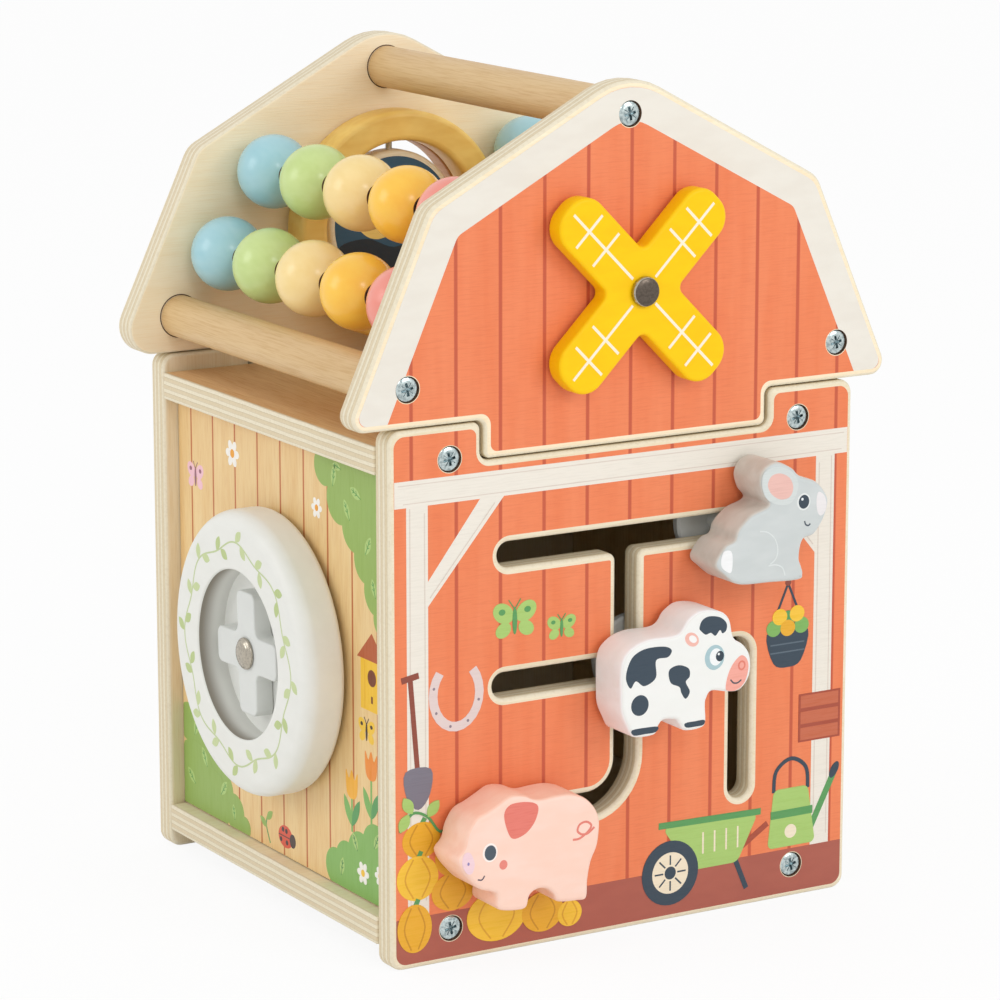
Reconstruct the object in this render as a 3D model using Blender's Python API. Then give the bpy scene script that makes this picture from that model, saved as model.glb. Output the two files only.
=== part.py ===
"""Wooden barn activity cube: a printed box with a figure maze, a bead roof, a windmill,
a flip disc and a side wheel. Metres, +Z up, the front faces -Y.
The origin lies on the ground at the centre of the overall box."""

import math

import bmesh
import bpy
from mathutils import Matrix, Vector

# Clearances
GAP = 0.0003                # between pieces that touch
RUNNING = 0.0003            # around a shaft, to each side
OVERRUN = 0.002             # how far a cut passes the face it opens
SEAM = 0.000001             # points this close are one point

# Box
PANEL_WIDTH = 0.191
PANEL_HEIGHT = 0.190
DEPTH = 0.180
PLY = 0.010                 # thickness of the front, rear and gable plates
PANEL_CORNER = 0.005
EDGE_ROUND = 0.0018
BOARD = 0.010               # thickness of the two horizontal boards
BOARD_EDGE = 0.0008
TOP_BOARD_DROP = 0.0065     # from the panels' top edge down to the top board
FOOT_HEIGHT = 0.0073        # under the bottom board
SIDE_RECESS = 0.0059
SIDE_PANEL = 0.006

# Roof plates
TAB_WIDTH = 0.1158
TAB_DROP = 0.0135           # from the gable's lower edge down to the tab's end
TAB_CORNER = 0.003
TAB_ROOT_ROUND = 0.003
TAB_GAP = 0.0005            # above and below
TAB_SIDE_GAP = 0.0014
NOTCH_LIP_ROUND = 0.0026
EAVE_HALF_WIDTH = 0.1119
EAVE_ROUND = 0.0052
KNEE_HALF_WIDTH = 0.0791
KNEE_RISE = 0.0744          # from the panels' top edge up to the knee
KNEE_ROUND = 0.010
APEX_RISE = 0.1164          # from the panels' top edge up to where the two slopes would meet
APEX_ROUND = 0.027
REAR_EAVE_EXTRA = 0.0024    # the rear gable is a little larger than the front one
REAR_EAVE_ROUND = 0.010
REAR_KNEE_EXTRA = 0.0003
REAR_KNEE_LIFT = 0.0009
REAR_APEX_LIFT = 0.0017

# Dowels and screws
DOWEL_DIAMETER = 0.0156
EAVE_DOWEL_INSET = 0.0239   # from the eave's corner inward
EAVE_DOWEL_RISE = 0.014     # above the panels' top edge
RIDGE_DOWEL_DROP = 0.0151   # below the apex
SCREW_HEAD_DIAMETER = 0.0086
SCREW_HEAD_CONE = 0.0026
SCREW_SINK = 0.0009
SCREW_SHANK_DIAMETER = 0.004
SCREW_LENGTH = 0.028
SCREW_POINT = 0.003
PANEL_SCREW_X = 0.0717

# Bead rods
UPPER_ROD_X = 0.055
UPPER_ROD_RISE = 0.067      # above the panels' top edge
LOWER_ROD_X = 0.0745
LOWER_ROD_RISE = 0.038
ROD_DIAMETER = 0.006
ROD_SOCKET_DEPTH = 0.006
BEADS_ON_A_ROD = 5
BEAD_BORE = 0.0074
BEAD_MOUTH = 0.0096
BEAD_MOUTH_DEPTH = 0.0014
BEAD_GAP = 0.0073           # between the mouths of two neighbours
FIRST_BEAD_GAP = 0.0016     # from the front gable to the pink bead
LAST_BEAD_GAP = 0.0007      # from the blue bead to the rear gable

# Windmill
WINDMILL_RISE = 0.0413      # above the panels' top edge
WINDMILL_REACH = 0.0429
WINDMILL_ARM_WIDTH = 0.020
WINDMILL_TIP_ROUND = 0.0072
WINDMILL_NOTCH_ROUND = 0.003
WINDMILL_THICKNESS = 0.008
WINDMILL_STANDOFF = 0.0015
WINDMILL_EDGE = 0.0012
WINDMILL_PIN_DIAMETER = 0.005
WINDMILL_HEAD_DIAMETER = 0.0106
WINDMILL_HEAD_HEIGHT = 0.0024
RIVET_TAIL_HEIGHT = 0.0016

# Flip disc in the rear gable
FLIP_RISE = 0.0425          # above the panels' top edge
FLIP_OPENING_DIAMETER = 0.064
FLIP_RING_DIAMETER = 0.087
FLIP_RING_THICKNESS = 0.0127
FLIP_RING_EDGE = 0.002
FLIP_DISC_DIAMETER = 0.0556
FLIP_DISC_THICKNESS = 0.008
FLIP_DISC_EDGE = 0.001
FLIP_PIN_DIAMETER = 0.0026
FLIP_PIN_SEAT = 0.006       # how far the pin's ends reach into the ring
FLIP_AXIS_INSET = 0.0015    # from the rear gable's inner face forward to the pin

# Side wheel
WHEEL_DIAMETER = 0.1036
WHEEL_THICKNESS = 0.0165
WHEEL_STANDOFF = 0.0014
WHEEL_Z = 0.095
WHEEL_FRONT_ROUND = 0.006
WHEEL_BACK_ROUND = 0.003
WHEEL_WINDOW_DIAMETER = 0.0614
WHEEL_WINDOW_DEPTH = 0.0112
WHEEL_WINDOW_LIP = 0.0007
SPIDER_DIAMETER = 0.047
SPIDER_ARM_WIDTH = 0.0134
SPIDER_THICKNESS = 0.007
SPIDER_EDGE = 0.0006
SPIDER_ARM_ROUND = 0.003
SPIDER_TURN = math.radians(2)
WHEEL_PIN_DIAMETER = 0.006
WHEEL_HEAD_DIAMETER = 0.0116
WHEEL_HEAD_HEIGHT = 0.0024

# Maze
SLOT_WIDTH = 0.0091
SLOT_CORNER = 0.003
TOP_SLOT_DROP = 0.0475      # below the panels' top edge
TOP_SLOT_LEFT = -0.048
TOP_SLOT_RIGHT = 0.050
MIDDLE_SLOT_SHARE = 0.511   # of the way from the lower slot up to the top one
MIDDLE_SLOT_LEFT = -0.050
RIGHT_SLOT_X = 0.0486
RIGHT_SLOT_FOOT = 0.0455
RIGHT_SLOT_ROUND = 0.006
LOWER_SLOT_Z = 0.048
LOWER_SLOT_LEFT = -0.052
LOWER_BEND_RADIUS = 0.016

# Figures
FIGURE_THICKNESS = 0.018
FIGURE_STANDOFF = 0.002
FIGURE_EDGE = 0.0014
PEG_DIAMETER = 0.0078
PEG_SOCKET_DEPTH = 0.009
PEG_FLANGE_DIAMETER = 0.032
PEG_FLANGE_THICKNESS = 0.004
PEG_FLANGE_GAP = 0.0005
PEG_FLANGE_EDGE = 0.0008
RABBIT_WIDTH, RABBIT_HEIGHT = 0.0473, 0.0436
COW_WIDTH, COW_HEIGHT = 0.0543, 0.0425
PIG_WIDTH, PIG_HEIGHT = 0.0571, 0.0418
RABBIT_PEG_X, COW_PEG_X, PIG_PEG_X = 0.044, 0.010, -0.050
RABBIT_PEG_SHARES = (0.416, 0.415)
COW_PEG_SHARES = (0.455, 0.482)
PIG_PEG_SHARES = (0.529, 0.644)

# Fineness of round shapes, in steps
ARC_STEPS = 4               # in a quarter circle of an outline
ROUND_STEPS = 32
WHEEL_STEPS = 40
DOWEL_STEPS = 20
BEAD_STEPS = 14
BEAD_ARCS = 6
PEG_STEPS = 16
SCREW_STEPS = 12
FIGURE_STEPS = 2            # between two points of a figure's outline
EDGE_STEPS = 2              # across a rounded edge

# Places worked out from the sizes above
HALF_WIDTH = PANEL_WIDTH / 2
FRONT_INSIDE = PLY
REAR_INSIDE = DEPTH - PLY
TOP_BOARD_TOP = PANEL_HEIGHT - TOP_BOARD_DROP
TOP_BOARD_MIDDLE = TOP_BOARD_TOP - BOARD / 2
BOTTOM_BOARD_MIDDLE = FOOT_HEIGHT + BOARD / 2
BOTTOM_BOARD_TOP = FOOT_HEIGHT + BOARD
GABLE_FOOT = PANEL_HEIGHT + TAB_GAP
TAB_FOOT = GABLE_FOOT - TAB_DROP
SIDE_OUTSIDE = HALF_WIDTH - SIDE_RECESS
MIDDLE_Y = DEPTH / 2
KNEE_Z = PANEL_HEIGHT + KNEE_RISE
APEX_Z = PANEL_HEIGHT + APEX_RISE
EAVE_DOWEL_X = EAVE_HALF_WIDTH - EAVE_DOWEL_INSET
EAVE_DOWEL_Z = PANEL_HEIGHT + EAVE_DOWEL_RISE
RIDGE_DOWEL_Z = APEX_Z - RIDGE_DOWEL_DROP
UPPER_ROD_Z = PANEL_HEIGHT + UPPER_ROD_RISE
LOWER_ROD_Z = PANEL_HEIGHT + LOWER_ROD_RISE
BEAD_SPACE = REAR_INSIDE - FRONT_INSIDE - FIRST_BEAD_GAP - LAST_BEAD_GAP
BEAD_LENGTH = (BEAD_SPACE - (BEADS_ON_A_ROD - 1) * BEAD_GAP) / BEADS_ON_A_ROD
BEAD_DIAMETER = math.hypot(BEAD_LENGTH, BEAD_MOUTH)
BEAD_PITCH = BEAD_LENGTH + BEAD_GAP
WINDMILL_Z = PANEL_HEIGHT + WINDMILL_RISE
FLIP_Z = PANEL_HEIGHT + FLIP_RISE
TOP_SLOT_Z = PANEL_HEIGHT - TOP_SLOT_DROP
MIDDLE_SLOT_Z = LOWER_SLOT_Z + MIDDLE_SLOT_SHARE * (TOP_SLOT_Z - LOWER_SLOT_Z)
FLIP_AXIS_Y = REAR_INSIDE - FLIP_AXIS_INSET
FIGURE_REACH = FIGURE_STANDOFF + FIGURE_THICKNESS
FRONT_Y = (FIGURE_REACH - DEPTH) / 2

# Outlines of the three figures, as shares of width and height from the lower left
RABBIT_OUTLINE_SHARES = [
    (0.205, 0.030), (0.480, 0.012), (0.746, 0.000), (0.784, 0.045), (0.770, 0.110), (0.748, 0.190),
    (0.778, 0.328), (0.877, 0.362), (0.958, 0.470), (1.000, 0.590), (0.989, 0.674),
    (0.896, 0.794), (0.740, 0.866), (0.668, 0.936), (0.533, 1.000), (0.425, 0.960),
    (0.380, 0.860), (0.410, 0.745), (0.466, 0.650), (0.310, 0.588), (0.199, 0.484),
    (0.165, 0.400), (0.085, 0.365), (0.010, 0.270), (0.000, 0.205), (0.060, 0.140),
]
COW_OUTLINE_SHARES = [
    (0.000, 0.355), (0.005, 0.640), (0.074, 0.762), (0.208, 0.823), (0.425, 0.828), (0.514, 0.940),
    (0.613, 1.000), (0.761, 0.969), (0.831, 0.889), (0.864, 0.735), (0.943, 0.656),
    (0.991, 0.565), (1.000, 0.452), (0.978, 0.353), (0.915, 0.278), (0.829, 0.275),
    (0.700, 0.305), (0.658, 0.250), (0.650, 0.190), (0.652, 0.040), (0.598, 0.000),
    (0.490, 0.005), (0.452, 0.060), (0.418, 0.110), (0.328, 0.122), (0.290, 0.080),
    (0.262, 0.015), (0.150, 0.008), (0.085, 0.030), (0.050, 0.110), (0.010, 0.228),
]
PIG_OUTLINE_SHARES = [
    (0.000, 0.541), (0.021, 0.452), (0.075, 0.354), (0.155, 0.250), (0.262, 0.190), (0.268, 0.085),
    (0.305, 0.036), (0.412, 0.012), (0.480, 0.025), (0.504, 0.120), (0.555, 0.160),
    (0.620, 0.150), (0.668, 0.095), (0.705, 0.022), (0.835, 0.000), (0.908, 0.010),
    (0.918, 0.165), (0.940, 0.318), (0.985, 0.450), (1.000, 0.600), (0.995, 0.690),
    (0.960, 0.790), (0.890, 0.880), (0.790, 0.930), (0.690, 0.938), (0.590, 0.930),
    (0.530, 0.945), (0.460, 0.988), (0.370, 1.000), (0.285, 0.948), (0.215, 0.902),
    (0.131, 0.852), (0.075, 0.740), (0.050, 0.620),
]

# Colours of the beads, from the rear gable to the front one
BEAD_COLOURS = [
    ("blue", (0.38, 0.63, 0.69)),
    ("green", (0.55, 0.68, 0.26)),
    ("cream", (0.86, 0.66, 0.26)),
    ("orange", (0.93, 0.42, 0.06)),
    ("pink", (0.86, 0.27, 0.19)),
]
PLAIN_WOOD = (0.78, 0.62, 0.40)


def clear_scene():
    for thing in list(bpy.data.objects):
        bpy.data.objects.remove(thing, do_unlink=True)


def material(name, colour, roughness=0.5, metallic=0.0):
    made = bpy.data.materials.new(name)
    made.use_nodes = True
    shader = made.node_tree.nodes["Principled BSDF"]
    shader.inputs["Base Color"].default_value = (*colour, 1.0)
    shader.inputs["Roughness"].default_value = roughness
    shader.inputs["Metallic"].default_value = metallic
    return made


def empty(name, place, parent=None):
    made = bpy.data.objects.new(name, None)
    made.location = place
    made.parent = parent
    bpy.context.scene.collection.objects.link(made)
    return made


def add_piece(name, mesh, finish, parent, place=(0, 0, 0), turn=(0, 0, 0)):
    made = bpy.data.objects.new(name, mesh)
    bpy.context.scene.collection.objects.link(made)
    made.parent = parent
    made.location = place
    made.rotation_euler = turn
    if finish:
        mesh.materials.append(finish)
    mesh.shade_smooth()
    mesh.set_sharp_from_angle(angle=math.radians(35))
    return made


def rounded_loop(corners):
    """Points of a closed outline whose corners are (x, z, radius), each turned by an arc."""
    points = []
    for here, (x, z, radius) in enumerate(corners):
        corner = Vector((x, z))
        before = (Vector(corners[here - 1][:2]) - corner).normalized()
        after = (Vector(corners[(here + 1) % len(corners)][:2]) - corner).normalized()
        if radius == 0:
            points.append(corner)
            continue
        half = before.angle(after) / 2
        centre = corner + (before + after).normalized() * (radius / math.sin(half))
        start = corner + before * (radius / math.tan(half)) - centre
        end = corner + after * (radius / math.tan(half)) - centre
        sweep = start.angle_signed(end)
        steps = max(1, round(ARC_STEPS * abs(sweep) / (math.pi / 2)))
        for step in range(steps + 1):
            points.append(centre + Matrix.Rotation(-sweep * step / steps, 2) @ start)
    return points


def circle_loop(x, z, diameter, steps=ROUND_STEPS):
    turn = 2 * math.pi / steps
    return [
        Vector((x + diameter / 2 * math.cos(turn * k), z + diameter / 2 * math.sin(turn * k)))
        for k in range(steps)
    ]


def new_outline(name, thickness, edge_round, edge_steps):
    """A flat filled curve whose rounded edges stay inside its outline."""
    curve = bpy.data.curves.new(name, "CURVE")
    curve.dimensions = "2D"
    curve.fill_mode = "BOTH"
    curve.extrude = thickness / 2 - edge_round
    curve.bevel_depth = edge_round
    curve.bevel_resolution = edge_steps - 1
    curve.offset = -edge_round
    return curve


def curve_to_mesh(name, curve):
    """The curve's solid as a mesh, its seams joined."""
    holder = bpy.data.objects.new(name, curve)
    bpy.context.scene.collection.objects.link(holder)
    bpy.context.view_layer.update()
    graph = bpy.context.evaluated_depsgraph_get()
    mesh = bpy.data.meshes.new_from_object(holder.evaluated_get(graph))
    bpy.data.objects.remove(holder, do_unlink=True)
    mesh.name = name
    work = bmesh.new()
    work.from_mesh(mesh)
    bmesh.ops.remove_doubles(work, verts=work.verts, dist=SEAM)
    flats = [face for face in work.faces if len(face.verts) == 3]
    between = [edge for edge in work.edges if all(face in flats for face in edge.link_faces)]
    bmesh.ops.beautify_fill(work, faces=flats, edges=between, method="AREA")
    bmesh.ops.recalc_face_normals(work, faces=work.faces)
    work.to_mesh(mesh)
    work.free()
    mesh.materials.clear()
    return mesh


def plate_mesh(name, loops, thickness, edge_round, edge_steps=EDGE_STEPS):
    """A flat plate with the given outer loop and holes, its edges rounded."""
    curve = new_outline(name, thickness, edge_round, edge_steps)
    for loop in loops:
        spline = curve.splines.new("POLY")
        spline.points.add(len(loop) - 1)
        for point, (x, z) in zip(spline.points, loop):
            point.co = (x, z, 0, 1)
        spline.use_cyclic_u = True
    return curve_to_mesh(name, curve)


def figure_mesh(name, outline_shares, width, height, peg_shares):
    """A thick animal cut-out, with its peg's axis at the origin."""
    curve = new_outline(name, FIGURE_THICKNESS, FIGURE_EDGE, EDGE_STEPS)
    curve.resolution_u = FIGURE_STEPS
    spline = curve.splines.new("BEZIER")
    spline.bezier_points.add(len(outline_shares) - 1)
    for point, (across, up) in zip(spline.bezier_points, outline_shares):
        point.co = ((across - peg_shares[0]) * width, (up - peg_shares[1]) * height, 0)
        point.handle_left_type = "AUTO"
        point.handle_right_type = "AUTO"
    spline.use_cyclic_u = True
    return curve_to_mesh(name, curve)


def turned_mesh(name, profile, steps, hollow=False):
    """A solid turned round Z from (radius, height) points that run up its outer side."""
    work = bmesh.new()
    chain = [work.verts.new((radius, 0, height)) for radius, height in profile]
    edges = [work.edges.new(pair) for pair in zip(chain, chain[1:])]
    if hollow:
        edges.append(work.edges.new((chain[-1], chain[0])))
    bmesh.ops.spin(work, geom=chain + edges, cent=(0, 0, 0), axis=(0, 0, 1),
                   angle=2 * math.pi, steps=steps, use_merge=True)
    bmesh.ops.remove_doubles(work, verts=work.verts, dist=SEAM)
    bmesh.ops.recalc_face_normals(work, faces=work.faces)
    mesh = bpy.data.meshes.new(name)
    work.to_mesh(mesh)
    work.free()
    return mesh


def box_mesh(name, width, depth, height):
    work = bmesh.new()
    bmesh.ops.create_cube(work, size=1, matrix=Matrix.Diagonal((width, depth, height, 1)))
    mesh = bpy.data.meshes.new(name)
    work.to_mesh(mesh)
    work.free()
    return mesh


def arc_profile(radius_centre, height_centre, radius, start, end, steps):
    """Points of an arc in a turned profile, its angles in degrees from outward, upward."""
    angles = [math.radians(start + (end - start) * k / steps) for k in range(steps + 1)]
    return [
        (radius_centre + radius * math.cos(a), height_centre + radius * math.sin(a))
        for a in angles
    ]


def cutter(name, mesh, parent, place=(0, 0, 0), turn=(0, 0, 0)):
    made = add_piece(name, mesh, None, parent, place, turn)
    made.hide_render = True
    made.display_type = "WIRE"
    return made


def cut(piece, tool):
    bite = piece.modifiers.new(tool.name, "BOOLEAN")
    bite.operation = "DIFFERENCE"
    bite.solver = "EXACT"
    bite.object = tool


def soften(piece, width):
    bevel = piece.modifiers.new("eased edges", "BEVEL")
    bevel.width = width
    bevel.segments = 2
    bevel.limit_method = "ANGLE"


# Turns that lay a piece made along +Z, or drawn in XY, into its place
FACING_FRONT = (math.pi / 2, 0, 0)      # local Z points to -Y
FACING_REAR = (-math.pi / 2, 0, 0)      # local Z points to +Y
FACING_LEFT = (0, -math.pi / 2, 0)      # local Z points to -X


def panel_corners():
    """The outline of the front and rear panels, with the notch for the gable's tab."""
    notch_half = TAB_WIDTH / 2 + TAB_SIDE_GAP
    notch_foot = TAB_FOOT - TAB_GAP
    notch_round = TAB_CORNER + TAB_GAP
    return [
        (-HALF_WIDTH, 0, PANEL_CORNER),
        (HALF_WIDTH, 0, PANEL_CORNER),
        (HALF_WIDTH, PANEL_HEIGHT, PANEL_CORNER),
        (notch_half, PANEL_HEIGHT, NOTCH_LIP_ROUND),
        (notch_half, notch_foot, notch_round),
        (-notch_half, notch_foot, notch_round),
        (-notch_half, PANEL_HEIGHT, NOTCH_LIP_ROUND),
        (-HALF_WIDTH, PANEL_HEIGHT, PANEL_CORNER),
    ]


def gable_corners(eave, eave_round, knee, knee_z, apex_z):
    """The barn-roof outline, with the tab that drops into the panel's notch."""
    half_tab = TAB_WIDTH / 2
    return [
        (-half_tab, TAB_FOOT, TAB_CORNER),
        (half_tab, TAB_FOOT, TAB_CORNER),
        (half_tab, GABLE_FOOT, TAB_ROOT_ROUND),
        (eave, GABLE_FOOT, eave_round),
        (knee, knee_z, KNEE_ROUND),
        (0, apex_z, APEX_ROUND),
        (-knee, knee_z, KNEE_ROUND),
        (-eave, GABLE_FOOT, eave_round),
        (-half_tab, GABLE_FOOT, TAB_ROOT_ROUND),
    ]


def maze_corners():
    """The joined slots of the maze as one outline, clockwise from the upper left."""
    half = SLOT_WIDTH / 2
    turn = SLOT_CORNER
    return [
        (TOP_SLOT_LEFT - half, TOP_SLOT_Z + half, half),
        (TOP_SLOT_RIGHT + half, TOP_SLOT_Z + half, half),
        (TOP_SLOT_RIGHT + half, TOP_SLOT_Z - half, half),
        (half, TOP_SLOT_Z - half, turn),
        (half, MIDDLE_SLOT_Z + half, turn),
        (RIGHT_SLOT_X + half, MIDDLE_SLOT_Z + half, RIGHT_SLOT_ROUND),
        (RIGHT_SLOT_X + half, RIGHT_SLOT_FOOT - half, half),
        (RIGHT_SLOT_X - half, RIGHT_SLOT_FOOT - half, half),
        (RIGHT_SLOT_X - half, MIDDLE_SLOT_Z - half, turn),
        (half, MIDDLE_SLOT_Z - half, turn),
        (half, LOWER_SLOT_Z - half, LOWER_BEND_RADIUS + half),
        (LOWER_SLOT_LEFT - half, LOWER_SLOT_Z - half, half),
        (LOWER_SLOT_LEFT - half, LOWER_SLOT_Z + half, half),
        (-half, LOWER_SLOT_Z + half, LOWER_BEND_RADIUS - half),
        (-half, MIDDLE_SLOT_Z - half, turn),
        (MIDDLE_SLOT_LEFT - half, MIDDLE_SLOT_Z - half, half),
        (MIDDLE_SLOT_LEFT - half, MIDDLE_SLOT_Z + half, half),
        (-half, MIDDLE_SLOT_Z + half, turn),
        (-half, TOP_SLOT_Z - half, turn),
        (TOP_SLOT_LEFT - half, TOP_SLOT_Z - half, half),
    ]


def make_box(base):
    """The front and rear panels, the two boards and the two side panels."""
    print_red = material("coral_print", (0.85, 0.25, 0.10), 0.45)
    plain = material("birch_ply", PLAIN_WOOD, 0.55)
    planks = material("plank_print", (0.80, 0.56, 0.26), 0.45)
    outline = rounded_loop(panel_corners())
    maze = rounded_loop(maze_corners())
    front = plate_mesh("front_panel", [outline, maze], PLY, EDGE_ROUND)
    rear = plate_mesh("rear_panel", [outline], PLY, EDGE_ROUND)
    made = {
        "front_panel": add_piece("front_panel", front, print_red, base, (0, PLY / 2, 0), FACING_FRONT),
        "rear_panel": add_piece("rear_panel", rear, plain, base, (0, DEPTH - PLY / 2, 0), FACING_FRONT),
    }
    clear_depth = REAR_INSIDE - FRONT_INSIDE - 2 * GAP
    for name, middle in (("top_board", TOP_BOARD_MIDDLE), ("bottom_board", BOTTOM_BOARD_MIDDLE)):
        mesh = box_mesh(name, PANEL_WIDTH, clear_depth, BOARD)
        made[name] = add_piece(name, mesh, plain, base, (0, MIDDLE_Y, middle))
        soften(made[name], BOARD_EDGE)
    side_foot = BOTTOM_BOARD_TOP + GAP
    side_height = TOP_BOARD_TOP - BOARD - GAP - side_foot
    for name, sign, finish in (("left_side_panel", -1, planks), ("right_side_panel", 1, plain)):
        mesh = box_mesh(name, SIDE_PANEL, clear_depth, side_height)
        across = sign * (SIDE_OUTSIDE - SIDE_PANEL / 2)
        made[name] = add_piece(name, mesh, finish, base, (across, MIDDLE_Y, side_foot + side_height / 2))
    return made


def make_roof(base):
    """The two gable plates and the three dowels that hold them apart."""
    front_outline = rounded_loop(gable_corners(
        EAVE_HALF_WIDTH, EAVE_ROUND, KNEE_HALF_WIDTH, KNEE_Z, APEX_Z))
    rear_outline = rounded_loop(gable_corners(
        EAVE_HALF_WIDTH + REAR_EAVE_EXTRA, REAR_EAVE_ROUND, KNEE_HALF_WIDTH + REAR_KNEE_EXTRA,
        KNEE_Z + REAR_KNEE_LIFT, APEX_Z + REAR_APEX_LIFT))
    opening = circle_loop(0, FLIP_Z, FLIP_OPENING_DIAMETER)
    front = plate_mesh("front_gable", [front_outline], PLY, EDGE_ROUND)
    rear = plate_mesh("rear_gable", [rear_outline, opening], PLY, EDGE_ROUND / 2)
    print_red = material("gable_print", (0.85, 0.25, 0.10), 0.45)
    plain = material("gable_ply", PLAIN_WOOD, 0.55)
    beech = material("beech_dowel", (0.72, 0.50, 0.27), 0.5)
    made = {
        "front_gable": add_piece("front_gable", front, print_red, base, (0, PLY / 2, 0), FACING_FRONT),
        "rear_gable": add_piece("rear_gable", rear, plain, base, (0, DEPTH - PLY / 2, 0), FACING_FRONT),
    }
    length = REAR_INSIDE - FRONT_INSIDE - 2 * GAP
    for name, across, height in dowel_places():
        profile = [(0, 0), (DOWEL_DIAMETER / 2, 0), (DOWEL_DIAMETER / 2, length), (0, length)]
        mesh = turned_mesh(name, profile, DOWEL_STEPS)
        made[name] = add_piece(name, mesh, beech, base, (across, FRONT_INSIDE + GAP, height), FACING_REAR)
    return made


def dowel_places():
    return [
        ("ridge_dowel", 0, RIDGE_DOWEL_Z),
        ("left_eave_dowel", -EAVE_DOWEL_X, EAVE_DOWEL_Z),
        ("right_eave_dowel", EAVE_DOWEL_X, EAVE_DOWEL_Z),
    ]


def screw_profile(around=0.0):
    """A countersunk screw, point down, its head's face at zero; around widens it for a hole."""
    head = SCREW_HEAD_DIAMETER / 2 + around
    shank = SCREW_SHANK_DIAMETER / 2 + around
    tip = -SCREW_LENGTH - around
    side = [(0, tip), (shank, tip + SCREW_POINT), (shank, -SCREW_HEAD_CONE - around), (head, -around)]
    if around:
        top = SCREW_SINK + OVERRUN
        return side + [(head, top), (0, top)]
    return side + [(0, 0)]


def make_screws(base, pieces):
    """Countersunk screws: four in each panel, three in each gable.

    Those of the rear gable are turned in one piece with the dowels that they hold."""
    steel = material("zinc_steel", (0.60, 0.60, 0.62), 0.35, 1.0)
    screw = turned_mesh("screw", screw_profile(), SCREW_STEPS)
    hole = turned_mesh("screw hole", screw_profile(RUNNING), SCREW_STEPS)
    panel_places = [
        (f"{level}_{side}", sign * PANEL_SCREW_X, height, board)
        for level, height, board in (
            ("upper", TOP_BOARD_MIDDLE, "top_board"), ("lower", BOTTOM_BOARD_MIDDLE, "bottom_board"))
        for side, sign in (("left", -1), ("right", 1))
    ]
    for end, face, turn, inward in (
            ("front", 0, FACING_FRONT, 1), ("rear", DEPTH, FACING_REAR, -1)):
        head = face + inward * SCREW_SINK
        for label, across, height, board in panel_places:
            name = f"{end}_panel_screw_{label}"
            place = (across, head, height)
            add_piece(name, screw, steel if not screw.materials else None, base, place, turn)
            tool = cutter(name + "_hole", hole, base, place, turn)
            cut(pieces[f"{end}_panel"], tool)
            cut(pieces[board], tool)
        for dowel, across, height in dowel_places():
            name = f"{end}_gable_screw_{dowel.replace('_dowel', '')}"
            place = (across, head, height)
            tool = cutter(name + "_hole", hole, base, place, turn)
            cut(pieces[f"{end}_gable"], tool)
            if end == "front":
                add_piece(name, screw, None, base, place, turn)
                cut(pieces[dowel], tool)
            else:
                fused = cutter(name, screw, base, place, turn)
                join = pieces[dowel].modifiers.new(name, "BOOLEAN")
                join.operation = "UNION"
                join.solver = "EXACT"
                join.object = fused


def bead_mesh():
    """A wooden ball on its bore, with flared mouths."""
    radius = BEAD_DIAMETER / 2
    pole = math.degrees(math.acos(BEAD_MOUTH / BEAD_DIAMETER))
    outside = arc_profile(0, 0, radius, -pole, pole, BEAD_ARCS)
    end = outside[-1][1] - BEAD_MOUTH_DEPTH
    bore = [(BEAD_BORE / 2, end), (BEAD_BORE / 2, -end)]
    return turned_mesh("bead", outside + bore, BEAD_STEPS, hollow=True)


def rod_places():
    return [
        ("upper_left", -UPPER_ROD_X, UPPER_ROD_Z),
        ("lower_left", -LOWER_ROD_X, LOWER_ROD_Z),
        ("upper_right", UPPER_ROD_X, UPPER_ROD_Z),
        ("lower_right", LOWER_ROD_X, LOWER_ROD_Z),
    ]


def make_beads(base, pieces):
    """Four steel rods in blind sockets of the gables, each with five beads."""
    steel = material("rod_steel", (0.65, 0.65, 0.66), 0.3, 1.0)
    rod_length = REAR_INSIDE - FRONT_INSIDE + 2 * ROD_SOCKET_DEPTH
    socket_start = FRONT_INSIDE - ROD_SOCKET_DEPTH
    rod_radius = ROD_DIAMETER / 2
    rod = turned_mesh("rod", [(0, GAP), (rod_radius, GAP), (rod_radius, rod_length - GAP),
                              (0, rod_length - GAP)], SCREW_STEPS)
    bore = rod_radius + RUNNING
    socket = turned_mesh("rod socket", [(0, 0), (bore, 0), (bore, rod_length), (0, rod_length)],
                         SCREW_STEPS)
    last = REAR_INSIDE - LAST_BEAD_GAP - BEAD_LENGTH / 2
    finishes = {name: material(f"bead_{name}", colour, 0.25) for name, colour in BEAD_COLOURS}
    for rod_name, across, height in rod_places():
        place = (across, socket_start, height)
        add_piece(f"{rod_name}_rod", rod, None if rod.materials else steel, base, place, FACING_REAR)
        tool = cutter(f"{rod_name}_socket", socket, base, place, FACING_REAR)
        cut(pieces["front_gable"], tool)
        cut(pieces["rear_gable"], tool)
        for order, (colour, _) in enumerate(BEAD_COLOURS):
            along = last - order * BEAD_PITCH
            add_piece(f"{rod_name}_bead_{colour}", bead_mesh(), finishes[colour], base,
                      (across, along, height), FACING_REAR)


def windmill_corners():
    """A cross of two bars at 45 degrees with rounded tips."""
    half = WINDMILL_ARM_WIDTH / 2
    corners = []
    for quarter in range(4):
        turn = Matrix.Rotation(math.pi / 4 + quarter * math.pi / 2, 2)
        arm = [
            (Vector((WINDMILL_REACH, -half)), WINDMILL_TIP_ROUND),
            (Vector((WINDMILL_REACH, half)), WINDMILL_TIP_ROUND),
            (Vector((half, half)), WINDMILL_NOTCH_ROUND),
        ]
        corners += [(*(turn @ point), radius) for point, radius in arm]
    return corners


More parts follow.
